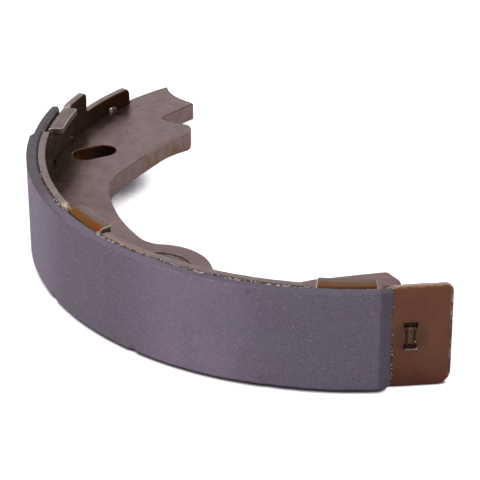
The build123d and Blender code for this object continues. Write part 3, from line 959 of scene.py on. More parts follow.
def passivated_steel(name, look, shades, rim_share, gold_share, film):
    """Passivated steel: clouded film, streaked walls, painted shade on rims, worn gold, golden bends in part
    painted reflection.

    shades are its face, clouds, sheared walls, their streaks and its rims, painted shade on the web
    and the tenons; film(nodes, colour) adds the piece's own films, painted light and shade among them.
    """
    face, clouds, cut, streaks, rim = shades
    material, nodes, shader = new_material(name, face, 0.34, 1.0)
    cloudy = nodes.effect(clouded_film, Scale=42.0, Contrast=0.22, First=face, Second=clouds)
    tint = nodes.effect(clouded_film, Scale=95.0, Contrast=0.16)["Mask"]
    colour = nodes.coat(cloudy["Color"], look.film_bloom, tint, 0.4)
    specks = nodes.effect(fine_grain, Scale=3200.0, Specks=0.10)
    colour = nodes.coat(colour, look.steel_bright, specks["Light"], 0.20)
    colour = nodes.coat(colour, look.steel_dark, specks["Dark"], 0.35)
    marks = nodes.effect(fine_scratches, Vector=nodes.stretched(1.0, 0.3, 1.0), Scale=260.0, Amount=0.5)
    colour = nodes.coat(colour, look.steel_bright, marks["Mask"], 0.22)
    wall = nodes.span("cut", 0.72, 0.98)
    drawn = nodes.noise(420.0, 4.0, 0.65, 0.5, nodes.stretched(1.0, 1.0, 0.5))
    colour = nodes.coat(colour, nodes.mix(nodes.fit(drawn, 0.35, 0.85), cut, streaks), wall)
    amber = nodes.between("along", (-7.5, -1.5), (40.0, 20.0))
    amber = nodes.math("MULTIPLY_ADD", tint, 0.3, amber)
    # Golden bends: the film's tint laid only where the bends catch the light, so partly painted reflection.
    golden = nodes.product(nodes.value("bend"), nodes.math("SUBTRACT", 1.0, wall))
    golden = nodes.product(golden, nodes.span("along", -62.0, -55.0, 0.18, 0.96))
    golden = nodes.product(golden, nodes.span("along", 40.0, 60.0, 1.0, 0.72))
    colour = nodes.coat(colour, nodes.mix(amber, look.bend_gold, look.bend_amber), golden)
    edge = nodes.span("edge", 0.25, 0.95)
    # Painted shade: a dark line along the middle of the rounded edges of the web and the tenons; the table's
    # rims take the colour of its sheared walls.
    colour = nodes.coat(colour, rim, edge, rim_share)
    worn = nodes.effect(worn_edges, Edge=edge, Scale=330.0, Amount=gold_share)["Mask"]
    colour = film(nodes, nodes.coat(colour, look.edge_gold, worn, 0.8))
    height = nodes.math("MULTIPLY_ADD", nodes.noise(2400.0, 3.0, 0.6), 0.10, nodes.noise(170.0, 3.0, 0.55))
    height = nodes.math("ADD", height, nodes.product(drawn, wall, 0.3))
    nodes.feed(shader, colour, height, 0.4, 0.3 * MM)
    rough = nodes.fit(nodes.noise(260.0), 0.3, 0.7, 0.27, 0.42)
    nodes.link(nodes.math("MULTIPLY_ADD", wall, 0.12, rough), shader.inputs["Roughness"])
    shader.inputs["Coat Weight"].default_value = 0.06
    shader.inputs["Coat Roughness"].default_value = 0.2
    return material


def web_finish(look):
    """The web's finish: redder on the nose, brown on the hook and in the long slot."""

    def film(nodes, colour):
        """Films of the nose, the hook and the long slot's bore, with painted highlights on the hook's edge
        and round the coined seat, and painted shade in the corner and on the coined seat's slope.
        """
        wall = nodes.span("cut", 0.5, 0.9)
        streaks = nodes.noise(330.0, 3.0, 0.6, 0.8, nodes.stretched(1.0, 0.35, 1.0))
        nose = nodes.near(at(*NOSE_FILM), 4 * MM, 20 * MM)
        colour = nodes.coat(colour, look.nose_red, nose, nodes.fit(streaks, 0.35, 0.62), 0.8)
        # Painted highlight along the hook's rounded edge.
        hook = nodes.near(at(*HOOK_HIGHLIGHT), 4 * MM, 16 * MM)
        colour = nodes.coat(colour, look.edge_gold, nodes.span("edge", 0.3, 0.9), hook, 0.8)
        level = nodes.stretched(1.0, 1.0, 0.0)
        radius = nodes.add("ShaderNodeVectorMath", {0: level}, operation="LENGTH").outputs["Value"]
        # Painted shade on the web beside the table, round its corner.
        corner = nodes.near(at(*CORNER_SHADE), 12 * MM, 42 * MM)
        colour = nodes.coat(colour, look.corner_brown, nodes.fit(radius, 75 * MM, 87 * MM), corner, 0.75)
        hook = nodes.product(nodes.near(at(*HOOK_WALL), 8 * MM, 24 * MM), nodes.span("cut", 0.6, 0.9))
        patches = nodes.fit(nodes.noise(210.0, 3.0, 0.6), 0.40, 0.60)
        colour = nodes.coat(colour, look.hook_brown, patches, hook, 0.75)
        # Painted shade and painted highlight round the coined seat: a dark line on its slope and a light line
        # just outside it.
        ring = nodes.gap(at(BOSS_RADIUS_PLACE, BOSS_ANGLE, WEB_HALF))
        ring = nodes.math("DIVIDE", nodes.math("SUBTRACT", ring, COIN_RADIUS), MM)
        line = nodes.product(nodes.fit(ring, -0.45, -0.22), nodes.fit(ring, 0.16, 0.04))
        light = nodes.product(nodes.fit(ring, 0.08, 0.2), nodes.fit(ring, 0.6, 0.35))
        colour = nodes.coat(colour, look.steel_dark, line, 0.65)
        colour = nodes.coat(colour, look.steel_bright, light, 0.35)
        tip = nodes.fit(radius, TABLE_OUTER - 1.6 * MM, TABLE_OUTER - 1.1 * MM)
        colour = nodes.coat(colour, look.tenon_olive, tip)
        rust = nodes.mix(nodes.fit(nodes.noise(140.0), 0.32, 0.6), look.steel_dark, look.slot_rust)
        return nodes.coat(colour, rust, wall, nodes.near(at(*LONG_SLOT), 8.5 * MM, 9.2 * MM))

    shades = (look.web_face, look.web_second, look.web_cut, look.web_streak, look.web_edge)
    return passivated_steel("Web steel", look, shades, 0.6, 0.22, film)


def table_finish(look):
    """The table's finish: brown on the straight end, with painted shade inside the arc."""

    def film(nodes, colour):
        """Brown straight end with its golden rim and painted light and shade at its slot, painted
        highlights on rims and in spots, and painted shade on the inner face.
        """
        wall = nodes.span("cut", 0.5, 0.9)
        skin = nodes.math("SUBTRACT", 1.0, wall)
        edge = nodes.span("edge", 0.2, 0.85)
        edge_or_wall = nodes.largest(nodes.span("edge", 0.2, 0.8), wall)
        straight = nodes.span("along", 89.0, 91.0)
        bare = nodes.product(nodes.span("along", 89.0, 90.0), skin)
        shades = {"First": look.bare_brown, "Second": look.bare_red}
        brown = nodes.effect(clouded_film, Scale=130.0, Contrast=0.2, **shades)
        colour = nodes.coat(colour, brown["Color"], bare)
        colour = nodes.coat(colour, look.rim_orange, nodes.span("across", 9.5, 11.0), edge, straight)
        colour = nodes.coat(colour, look.table_face, nodes.span("along", 105.6, 106.1), 0.75)
        rub = nodes.product(edge, nodes.span("along", 104.0, 105.0))
        rub = nodes.largest(rub, nodes.span("along", 105.5, 106.3))
        burrs = nodes.effect(worn_edges, Edge=rub, Scale=900.0, Amount=0.48)["Mask"]
        tufts = nodes.fit(nodes.noise(170.0, 2.0), 0.40, 0.56)
        colour = nodes.coat(colour, look.crumb_light, burrs, tufts, 0.7)
        band = nodes.product(nodes.span("across", 14.2, 14.7), nodes.span("along", 104.6, 103.6))
        rough_band = nodes.fit(nodes.noise(700.0, 3.0, 0.6), 0.36, 0.60)
        colour = nodes.coat(colour, look.rim_orange, band, straight, skin, rough_band)
        crown = nodes.product(nodes.span("across", 14.8, 15.1), edge_or_wall)
        colour = nodes.coat(colour, look.crown_pink, crown, straight, 0.8)
        slot = nodes.near(place_sheet(ARC_RUN + FLAT_SLOT_PLACE, 0.0, 0.0), 3.5 * MM, 6 * MM)
        colour = nodes.coat(colour, look.tenon_olive, slot, bare, 0.5)
        # Painted shade on the walls of the straight end's slot.
        colour = nodes.coat(colour, look.steel_dark, slot, wall, 0.85)
        # Painted highlight along the tabs' outer edges.
        outer = nodes.product(nodes.value("tab"), nodes.span("depth", 1.2, 0.9))
        colour = nodes.coat(colour, look.tab_rim, edge, outer, 0.75)
        seam = nodes.product(nodes.between("along", (2.0, 6.0), (26.0, 16.0)), nodes.span("depth", 0.9, 0.3))
        colour = nodes.coat(colour, look.seam_pink, seam, edge_or_wall, 0.55)
        # Painted highlights in spots along the rim.
        spot = nodes.largest(*[nodes.between("along", rise, fall) for rise, fall in HIGHLIGHT_SPOTS])
        spot = nodes.product(spot, edge_or_wall, nodes.span("across", 10.0, 12.0))
        streaks = nodes.fit(nodes.noise(650.0, 3.0, 0.6), 0.40, 0.58, 0.05, 0.8)
        colour = nodes.coat(colour, look.tab_rim, spot, streaks)
        # Painted light on the slot's lower wall, which faces up.
        lip = nodes.between("across", (-3.2, -3.7), (-5.2, -4.6))
        colour = nodes.coat(colour, look.crumb_light, lip, nodes.span("along", 94.0, 94.5), wall)
        # Painted shade on the inner face, with orange patches lower down.
        glow = nodes.fit(nodes.noise(110.0, 2.0), 0.42, 0.62)
        dark = nodes.coat(look.inner_brown, look.inner_orange, glow, nodes.span("across", 9.0, 3.0))
        return nodes.coat(colour, dark, nodes.span("depth", 1.5, 2.1), skin)

    shades = (look.table_face, look.table_second, look.table_cut, look.table_streak, look.table_cut)
    return passivated_steel("Table steel", look, shades, 0.5, 0.24, film)


def tenon_finish(look):
    """The staked heads' finish: olive on the face, with painted shade on the walls and rims and where the
    punch went in.
    """

    def film(nodes, colour):
        """Painted shade in the hollows at the ends."""
        end = nodes.fit(nodes.math("ABSOLUTE", nodes.value("across")), 2.3, 2.7, 0.0, 0.95)
        return nodes.coat(colour, look.bond_dark, end)

    # Painted shade on the heads' walls, streaks and rims, which sit in the slot.
    shades = (look.tenon_olive, look.bare_brown, look.steel_dark, look.steel_dark, look.steel_dark)
    return passivated_steel("Tenon steel", look, shades, 0.9, 0.0, film)


def lining_colour(nodes, look, specks, marks):
    """Colour of the compound's faces: painted light and shade in stretches along the arc, patches, specks and
    scratches.
    """
    # Painted light and shade along the arc: darker at the lead-in and far ends and in a valley near the
    # middle, lighter on the crests.
    colour = nodes.mix(nodes.span("along", -92.0, -40.0), look.lining_left, look.lining_middle)
    colour = nodes.coat(colour, look.lining_right, nodes.span("along", 0.0, 88.0))
    colour = nodes.coat(colour, look.lining_valley, nodes.between("along", (-30.0, -9.0), (32.0, 10.0)))
    crest = nodes.between("along", (20.0, 36.0), (60.0, 42.0))
    colour = nodes.coat(colour, look.lining_crest, nodes.largest(crest, nodes.span("along", -24.0, -38.0)))
    cool = nodes.effect(clouded_film, Scale=70.0, Contrast=0.12)["Mask"]
    colour = nodes.coat(colour, look.lining_cool, cool, nodes.span("along", -30.0, 60.0, 0.10, 0.40))
    warm = nodes.fit(nodes.noise(240.0, 3.0, 0.6), 0.45, 0.75)
    colour = nodes.coat(colour, look.lining_warm, warm, 0.30)
    colour = nodes.coat(colour, look.speck_light, specks["Light"], 0.30)
    colour = nodes.coat(colour, look.speck_dark, specks["Dark"], 0.45)
    large = nodes.effect(fine_grain, Scale=1700.0, Specks=0.012)
    colour = nodes.coat(colour, look.speck_light, large["Light"], 0.9)
    return nodes.coat(colour, look.speck_light, marks["Mask"], 0.35)


def lining_finish(look):
    """Moulded friction compound: matt, speckled, scratched, with a torn inner edge and painted shade on its
    upper face, its edges and its heel.
    """
    material, nodes, shader = new_material("Friction compound", look.lining_middle, 0.62)
    specks = nodes.effect(fine_grain, Scale=2900.0, Specks=0.20)
    marks = nodes.effect(fine_scratches, Vector=nodes.stretched(0.5, 0.5, 2.0), Scale=240.0, Amount=0.45)
    colour = lining_colour(nodes, look, specks, marks)
    # Painted shade on the upper face, set differently at the lead-in end and at the far end.
    side = nodes.mix(nodes.span("along", -18.0, -34.0), look.lining_side, look.lining_side_left)
    side = nodes.coat(side, look.lining_side_right, nodes.span("along", 22.0, 45.0))
    colour = nodes.coat(colour, side, nodes.span("cut", 0.6, 0.98), nodes.span("across", 0.0, 14.0), 0.9)
    # Painted shade on the chamfer at the far end.
    colour = nodes.coat(colour, look.speck_dark, nodes.span("along", 89.5, 90.6), 0.45)
    torn = nodes.product(nodes.span("along", 0.6, 1.6), nodes.span("along", 76.0, 60.0, 0.25, 1.0))
    torn = nodes.largest(torn, nodes.between("along", (-26.0, -22.0), (-15.5, -16.5)))
    torn = nodes.product(torn, nodes.span("depth", 2.15, 2.45), nodes.span("across", 13.6, 14.4))
    clumps = nodes.noise(680.0, 2.0, 0.6)
    colour = nodes.coat(colour, look.bond_dark, torn, nodes.fit(clumps, 0.53, 0.47), 0.95)
    colour = nodes.coat(colour, look.crumb_light, torn, nodes.fit(clumps, 0.57, 0.62), 0.9)
    # Painted shade along the lower edge, which faces down, and at the heel.
    foot_shade = nodes.product(nodes.span("across", -13.2, -14.4), nodes.span("cut", 0.1, 0.7))
    heel = nodes.product(nodes.span("across", -13.9, -14.3), nodes.span("along", 48.0, 60.0))
    colour = nodes.coat(colour, look.speck_dark, nodes.largest(foot_shade, heel), 0.85)
    # Painted shade along the upper edge towards the lead-in end; further on, the rubbed edge.
    edge = nodes.product(nodes.span("edge", 0.2, 0.9), nodes.span("across", 0.0, 10.0))
    colour = nodes.coat(colour, look.speck_dark, edge, nodes.span("along", -9.0, -15.0), 0.7)
    edge = nodes.product(edge, nodes.span("along", 18.0, 40.0))
    worn = nodes.effect(worn_edges, Edge=edge, Scale=600.0, Amount=0.42)["Mask"]
    colour = nodes.coat(colour, look.lining_edge, worn, 0.4)
    height = nodes.math("MULTIPLY_ADD", specks["Height"], 0.35, nodes.noise(420.0, 4.0, 0.65))
    height = nodes.math("MULTIPLY_ADD", marks["Mask"], -0.3, height)
    nodes.feed(shader, colour, height, 0.5, 0.25 * MM)
    nodes.link(nodes.fit(specks["Height"], 0.3, 0.7, 0.52, 0.72), shader.inputs["Roughness"])
    shader.inputs["Specular IOR Level"].default_value = 0.4
    return material


def bond_finish(name, look, first, roughness):
    """Adhesive and its squeeze-out: two clouded colours with fine grain."""
    material, nodes, shader = new_material(name, first, roughness)
    clouds = nodes.effect(clouded_film, Scale=160.0, Contrast=0.18, First=first, Second=look.bond_brown)
    grain = nodes.effect(fine_grain, Scale=1800.0)
    colour = nodes.coat(clouds["Color"], look.bond_grain, grain["Dark"], 0.5)
    nodes.feed(shader, colour, grain["Height"], 0.6, 0.2 * MM)
    return material


def crumb_finish(look):
    """Crumbs: dark, reddish or bright, told by each crumb's own tone."""
    material, nodes, shader = new_material("Bond crumbs", look.speck_dark, 0.4)
    colour = nodes.mix(nodes.span("tone", 0.34, 0.40), look.bond_dark, look.crumb_red)
    colour = nodes.coat(colour, look.crumb_light, nodes.span("tone", 0.58, 0.66))
    rub = nodes.noise(2200.0)
    colour = nodes.coat(colour, look.speck_dark, nodes.fit(rub, 0.45, 0.7, 0.0, 0.5))
    nodes.feed(shader, colour, rub, 0.5, 0.1 * MM)
    return material


def dress(piece, material, replaced=None):
    """Give a piece its material and its place on the shoe, and hide the part it replaces."""
    if not piece.data.polygons:
        raise RuntimeError(f"{piece.name} has no faces")
    piece.data.materials.clear()
    piece.data.materials.append(material)
    if replaced:
        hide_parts(replaced)
    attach(piece, "root")


# ---------------------------------------------------------------- studio
AIM = Vector((0.0, 0.0, 0.25 * MM))
CAMERA_TURN = math.radians(48.0)
IMAGE_SIDE = 480
SENSOR = 36.0
FLOOR_REACH = 4.0
WHITE = (1.0, 1.0, 1.0, 1.0)
SHADOW_TINT = (1.0, 0.82, 1.0, 1.0)


def camera_frame(studio):
    """Camera matrix: it looks at the shoe from its turn and rise, then is swung by small angles."""
    place = Vector((0, -studio.camera_back, studio.camera_rise))
    turn = Matrix.Rotation(studio.camera_yaw, 3, "Z")
    right = turn @ Vector((1, 0, 0))
    forward = Matrix.Rotation(studio.camera_pitch, 3, right) @ (turn @ -place.normalized())
    up = right.cross(forward)
    roll = studio.camera_roll
    side = right * math.cos(roll) + up * math.sin(roll)
    top = up * math.cos(roll) - right * math.sin(roll)
    round_shoe = Matrix.Rotation(CAMERA_TURN, 3, "Z")
    matrix = (round_shoe @ Matrix((side, top, -forward)).transposed()).to_4x4()
    matrix.translation = round_shoe @ place + AIM
    return matrix


def add_camera(studio):
    """Camera at the object's viewing angle."""
    camera = bpy.data.cameras.new("camera")
    camera.sensor_width = SENSOR
    camera.sensor_fit = "HORIZONTAL"
    camera.lens = studio.camera_reach * SENSOR / IMAGE_SIDE
    camera.clip_start = 0.01
    holder = placed("camera", camera)
    holder.matrix_world = camera_frame(studio)
    bpy.context.scene.camera = holder


def seen_from_camera(right, ahead, height):
    """Place in the studio: right of the camera's line, away from the camera, and up."""
    return Matrix.Rotation(CAMERA_TURN, 3, "Z") @ Vector((right, ahead, height))


def add_light(name, place, power, side):
    """Soft square light that points at the shoe."""
    light = bpy.data.lights.new(name, "AREA")
    light.shape = "SQUARE"
    light.size = side
    light.energy = power
    holder = placed(name, light)
    holder.location = place
    holder.rotation_euler = (-place).to_track_quat("-Z", "Y").to_euler()


def floor_finish(studio):
    """Pale floor: white where it is seen, dimmer where it only lights the shoe."""
    material = bpy.data.materials.new("Studio floor")
    material.use_nodes = True
    material.node_tree.nodes.clear()
    nodes = Nodes(material.node_tree)
    shade = studio.floor_seen
    seen = nodes.add("ShaderNodeBsdfDiffuse", {"Color": (shade, 0.9 * shade, 0.98 * shade, 1)})
    bounce = nodes.add("ShaderNodeBsdfDiffuse", {"Color": (*[studio.floor_bounce] * 3, 1)})
    contact = nodes.add("ShaderNodeAmbientOcclusion", {"Distance": studio.contact_reach}, samples=16)
    toward_key = tuple(seen_from_camera(-0.25, -0.75, 0.6))
    under = {"Distance": studio.under_reach, "Normal": toward_key}
    under = nodes.add("ShaderNodeAmbientOcclusion", under, samples=48)
    open_contact = nodes.fit(contact.outputs["AO"], 0.42, 0.85)
    open_under = nodes.fit(under.outputs["AO"], 0.19, 0.28, 0.0, 1.2)
    lit = nodes.product(open_contact, open_under, studio.floor_glow)
    glow = {"Strength": lit, "Color": nodes.mix(lit, SHADOW_TINT, WHITE)}
    glow = nodes.add("ShaderNodeEmission", glow)
    bright = nodes.add("ShaderNodeAddShader", {0: seen.outputs[0], 1: glow.outputs[0]})
    looked_at = nodes.add("ShaderNodeLightPath").outputs["Is Camera Ray"]
    both = {0: looked_at, 1: bounce.outputs[0], 2: bright.outputs[0]}
    both = nodes.add("ShaderNodeMixShader", both)
    nodes.add("ShaderNodeOutputMaterial", {"Surface": both.outputs[0]})
    return material


def add_world(studio):
    """Soft room: bright behind the shoe and above, darker on the camera's side."""
    world = bpy.data.worlds.new("studio")
    bpy.context.scene.world = world
    world.use_nodes = True
    world.node_tree.nodes.clear()
    nodes = Nodes(world.node_tree)
    direction = nodes.add("ShaderNodeTexCoord").outputs["Generated"]

    def facing(*way):
        """How far a direction of the room turns a given way, from -1 to 1."""
        links = {0: direction, 1: tuple(seen_from_camera(*way))}
        return nodes.add("ShaderNodeVectorMath", links, operation="DOT_PRODUCT").outputs["Value"]

    behind = nodes.fit(facing(0, 1, 0), -0.6, 0.7, studio.room_front, studio.room_back)
    beside = nodes.fit(facing(1, 0, 0), -1.0, 1.0, 1.15, 0.8)
    above = nodes.fit(facing(0, 0, 1), 0.45, 0.85, 1.0, studio.room_top)
    looked_at = nodes.add("ShaderNodeLightPath").outputs["Is Camera Ray"]
    hidden = nodes.math("SUBTRACT", 1.0, looked_at)
    strength = nodes.math("MULTIPLY_ADD", nodes.product(behind, beside, above), hidden, looked_at)
    back = nodes.add("ShaderNodeBackground", {"Color": WHITE, "Strength": strength})
    nodes.add("ShaderNodeOutputWorld", {"Surface": back.outputs[0]})


def add_floor(studio):
    """Wide plain floor under the shoe."""
    corners = [(x * FLOOR_REACH, y * FLOOR_REACH, FLOOR) for x, y in ((-1, -1), (1, -1), (1, 1), (-1, 1))]
    mesh = bpy.data.meshes.new("floor")
    mesh.from_pydata(corners, [], [(0, 1, 2, 3)])
    mesh.materials.append(floor_finish(studio))
    placed("floor", mesh)


# ---------------------------------------------------------------- settings
def length_prop(label, text, metres, high):
    """Length that a user can change."""
    limits = {"min": 0.0, "max": high, "precision": 5}
    return bpy.props.FloatProperty(
        name=label, description=text, default=metres, subtype="DISTANCE", unit="LENGTH", **limits
    )


def colour_prop(label, text, *colour):
    """Colour that a user can change."""
    return bpy.props.FloatVectorProperty(
        name=label, description=text, default=colour, min=0.0, max=1.0, size=3, subtype="COLOR"
    )


def amount_prop(label, text, default, high=10.0):
    """Plain amount that a user can change."""
    return bpy.props.FloatProperty(name=label, description=text, default=default, min=0.0, max=high)


def angle_prop(label, text, degrees):
    """Angle that a user can change."""
    turn = math.radians(degrees)
    return bpy.props.FloatProperty(
        name=label, description=text, default=turn, subtype="ANGLE", unit="ROTATION"
    )


class ShoeSizes(bpy.types.PropertyGroup):
    """Sizes of the shoe's edges and of its bond line."""

    sheet_round: length_prop("Sheet edge", "Rounding of the table's edges", 0.42 * MM, 0.9 * MM)
    bare_end_round: length_prop("Straight end's edge", "Rounding of its inner edge", 1.45 * MM, 1.6 * MM)
    web_round: length_prop("Web edge", "Rounding of the web's upper edge", 0.45 * MM, 1.0 * MM)
    nose_round: length_prop("Nose edge", "Rolled edge on the nose's slanted end", 0.9 * MM, 1.2 * MM)
    coin_slope: length_prop("Coined slope", "Width of the slope round the spring seat", 0.18 * MM, 2.0 * MM)
    lining_round: length_prop("Lining edge", "Rounding of the lining's edges", 0.32 * MM, 0.9 * MM)
    foot_round: length_prop("Lower edge", "Rounding of the lining's lower heel", 0.7 * MM, 1.2 * MM)
    lead_round: length_prop("Lead-in edge", "Rounding of the lining's lead-in end", 1.2 * MM, 1.6 * MM)
    stake_depth: length_prop("Stake depth", "Depth of the staked tenons' hollows", 0.9 * MM, 1.5 * MM)
    crumb_size: amount_prop("Crumb size", "Size of the bond line's crumbs, as a factor", 1.0, 2.0)
    crumb_count: bpy.props.IntProperty(
        name="Crumbs", description="How many crumbs lie along the bond line", default=900, min=0, max=1000
    )


class ShoeColours(bpy.types.PropertyGroup):
    """Colours of the steel, the lining and the bond line, painted light and shade among them."""

    web_face: colour_prop("Web", "Film on the web's faces", 0.250, 0.150, 0.157)
    web_second: colour_prop("Web, clouds", "Darker clouds on the web's faces", 0.168, 0.108, 0.100)
    web_cut: colour_prop("Web, sheared", "Sheared walls of the web", 0.500, 0.345, 0.340)
    web_streak: colour_prop("Web, streaks", "Streaks on the web's sheared walls", 0.345, 0.220, 0.170)
    # Painted shade along the middle of the web's rounded edges.
    web_edge: colour_prop("Web, edge", "Darker line along the web's edges", 0.100, 0.068, 0.062)
    # Painted shade on the web beside the table.
    corner_brown: colour_prop("Web, corner", "Brown film beside the table", 0.105, 0.060, 0.026)
    hook_brown: colour_prop("Hook", "Brown patches on the hook's walls", 0.420, 0.230, 0.110)
    nose_red: colour_prop("Nose", "Reddish film on the nose", 0.250, 0.145, 0.125)
    slot_rust: colour_prop("Long slot", "Rusty bore of the long slot", 0.170, 0.056, 0.016)
    table_face: colour_prop("Table", "Film on the table's faces", 0.185, 0.128, 0.128)
    table_second: colour_prop("Table, clouds", "Darker clouds on the table's faces", 0.150, 0.098, 0.088)
    table_cut: colour_prop("Table, sheared", "Sheared edges of the table", 0.280, 0.215, 0.210)
    table_streak: colour_prop("Table, streaks", "Streaks on the table's edges", 0.210, 0.150, 0.135)
    film_bloom: colour_prop("Film bloom", "Cooler tint of the film", 0.185, 0.124, 0.136)
    # Bright specks and scratches, and the painted highlight round the coined seat.
    steel_bright: colour_prop("Bright steel", "Bright specks and scratches", 0.42, 0.33, 0.30)
    # Dark specks and streaks, and painted shade on the coined seat's line, the straight end's slot walls and
    # the staked heads.
    steel_dark: colour_prop("Dark steel", "Dark specks and streaks", 0.050, 0.032, 0.026)
    # Worn golden edges, and the painted highlight on the hook's edge.
    edge_gold: colour_prop("Worn edge", "Worn golden edges", 0.50, 0.34, 0.25)
    # Partly painted reflection: gold laid where the tabs' bends catch the light.
    bend_gold: colour_prop("Bend, gold", "Golden film on the tabs' bends", 0.175, 0.068, 0.005)
    bend_amber: colour_prop("Bend, amber", "Redder film on the tabs' bends", 0.230, 0.056, 0.005)
    # Painted highlight on the tabs' rims and in spots on the table's rim.
    tab_rim: colour_prop("Tab rim", "Pale rim of the tabs", 0.800, 0.600, 0.460)
    seam_pink: colour_prop("Seam rim", "Pinkish rim beside the bond line", 0.45, 0.25, 0.19)
    tenon_olive: colour_prop("Tenon", "Olive film on the staked tenons", 0.150, 0.100, 0.060)
    bare_brown: colour_prop("Straight end", "Brown film on the straight end", 0.365, 0.158, 0.098)
    bare_red: colour_prop("Straight end, clouds", "Redder clouds on it", 0.335, 0.128, 0.094)
    crown_pink: colour_prop("Rim, top", "Pale top of the straight end", 0.580, 0.400, 0.350)
    rim_orange: colour_prop("Rim", "Golden rim of the straight end", 0.620, 0.310, 0.150)
    # Painted shade inside the arc, with orange patches in it.
    inner_brown: colour_prop("Inner face", "Dark film inside the arc", 0.055, 0.022, 0.003)
    inner_orange: colour_prop("Inner glow", "Rusty patches inside the arc", 0.075, 0.026, 0.006)
    # Painted light and shade along the lining's arc, round the middle colour.
    lining_left: colour_prop("Lining, lead-in", "Compound at the lead-in end", 0.124, 0.094, 0.127)
    lining_middle: colour_prop("Lining, middle", "Compound at the middle", 0.300, 0.235, 0.325)
    lining_valley: colour_prop("Lining, darker", "Compound beside the lead-in end", 0.212, 0.164, 0.234)
    lining_crest: colour_prop("Lining, lighter", "Compound where it is lightest", 0.335, 0.250, 0.358)
    lining_right: colour_prop("Lining, far end", "Compound at the far end", 0.205, 0.157, 0.228)
    lining_cool: colour_prop("Lining, cool", "Cooler patches of the compound", 0.200, 0.205, 0.260)
    lining_warm: colour_prop("Lining, warm", "Warmer patches of the compound", 0.250, 0.180, 0.215)
    # Painted shade on the lining's upper face.
    lining_side: colour_prop("Lining, side", "Side face of the lining", 0.185, 0.142, 0.198)
    lining_side_left: colour_prop("Side, lead-in", "Side face at the lead-in end", 0.094, 0.074, 0.094)
    lining_side_right: colour_prop("Side, far end", "Side face at the far end", 0.132, 0.105, 0.148)
    lining_edge: colour_prop("Lining edge", "Rubbed edge of the lining", 0.34, 0.29, 0.33)
    speck_light: colour_prop("Light specks", "Light specks in the compound", 0.380, 0.330, 0.380)
    # Dark specks, and painted shade on the far chamfer, the lower edge and the upper edge at the lead-in end.
    speck_dark: colour_prop("Dark specks", "Dark specks in the compound", 0.045, 0.032, 0.042)
    # Adhesive under the lining, crumbs and torn clumps, and the painted shade in the staked heads' hollows.
    bond_dark: colour_prop("Adhesive", "Adhesive under the lining", 0.030, 0.018, 0.014)
    bond_brown: colour_prop("Adhesive, brown", "Browner parts of the adhesive", 0.085, 0.045, 0.030)
    bond_grain: colour_prop("Adhesive, grain", "Dark grains in the adhesive", 0.010, 0.008, 0.008)
    bead_green: colour_prop("Bead", "Squeezed-out compound beside the tab", 0.120, 0.105, 0.125)
    crumb_red: colour_prop("Crumb, red", "Reddish crumbs", 0.300, 0.120, 0.080)
    # Light crumbs, burrs and torn clumps, and the painted light on the straight end's slot.
    crumb_light: colour_prop("Crumb, light", "Light crumbs", 0.950, 0.840, 0.800)


class ShoeStudio(bpy.types.PropertyGroup):
    """Camera, floor and lights."""

    camera_back: length_prop("Camera distance", "Level distance from the drum's axis", 0.565388, 5.0)
    camera_rise: length_prop("Camera height", "Height above the web's middle", 0.272543, 5.0)
    camera_yaw: angle_prop("Camera yaw", "Swing of the camera about the upright", 3.173)
    camera_pitch: angle_prop("Camera pitch", "Tilt of the camera", -1.493)
    camera_roll: angle_prop("Camera roll", "Roll of the camera", -0.297)
    camera_reach: amount_prop("Camera reach", "Focal length for a picture 480 wide", 2065.8, 10000.0)
    floor_seen: amount_prop("Floor", "Whiteness of the floor where it is seen", 0.32, 1.0)
    floor_bounce: amount_prop("Floor bounce", "Whiteness where it lights the shoe", 0.5, 1.0)
    floor_glow: amount_prop("Floor glow", "Light given by the floor itself", 0.88)
    contact_reach: length_prop("Contact shadow", "Reach where the shoe meets the floor", 1.5 * MM, 100 * MM)
    under_reach: length_prop("Under shadow", "Reach of the shadow under the web", 60 * MM, 100 * MM)
    room_front: amount_prop("Room, front", "Light from the camera's side", 0.85)
    room_back: amount_prop("Room, back", "Light from behind the shoe", 0.95)
    room_top: amount_prop("Room, top", "Light from above, as a factor", 0.35)
    key_power: amount_prop("Top light", "Power of the soft top light", 2.0, 100.0)
    side_power: amount_prop("Side light", "Power of the soft side light", 1.0, 100.0)


def palette(scene):
    """The scene's colour settings as four-part colours."""
    look = scene.shoe_colours
    return SimpleNamespace(**{key: (*getattr(look, key), 1.0) for key in ShoeColours.__annotations__})


# ---------------------------------------------------------------- operators
class BRAKE_SHOE_OT_table(bpy.types.Operator):
    """Build the table with its tabs and slots"""

    bl_idname = "brake_shoe.table"
    bl_label = "Build the table"

    def execute(self, context):
        """Make the rolled sheet and dress it."""
        piece = build_table(context.scene.shoe_sizes)
        dress(piece, table_finish(palette(context.scene)), "table")
        return {"FINISHED"}


class BRAKE_SHOE_OT_web(bpy.types.Operator):
    """Build the web"""

    bl_idname = "brake_shoe.web"
    bl_label = "Build the web"

    def execute(self, context):
        """Make the blanked plate and dress it."""
        piece = build_web(context.scene.shoe_sizes)
        dress(piece, web_finish(palette(context.scene)), "web")
        return {"FINISHED"}


class BRAKE_SHOE_OT_tenons(bpy.types.Operator):
    """Build the staked heads of the tenons that show"""

    bl_idname = "brake_shoe.tenons"
    bl_label = "Build the staked tenons"

    def execute(self, context):
        """Make the heads and dress them."""
        finish = tenon_finish(palette(context.scene))
        for head in build_tenon_heads(context.scene.shoe_sizes):
            dress(head, finish)
        return {"FINISHED"}


class BRAKE_SHOE_OT_lining(bpy.types.Operator):
    """Build the friction lining"""

    bl_idname = "brake_shoe.lining"
    bl_label = "Build the lining"

    def execute(self, context):
        """Make the moulded lining and dress it."""
        piece = build_lining(context.scene.shoe_sizes)
        dress(piece, lining_finish(palette(context.scene)), "lining")
        return {"FINISHED"}


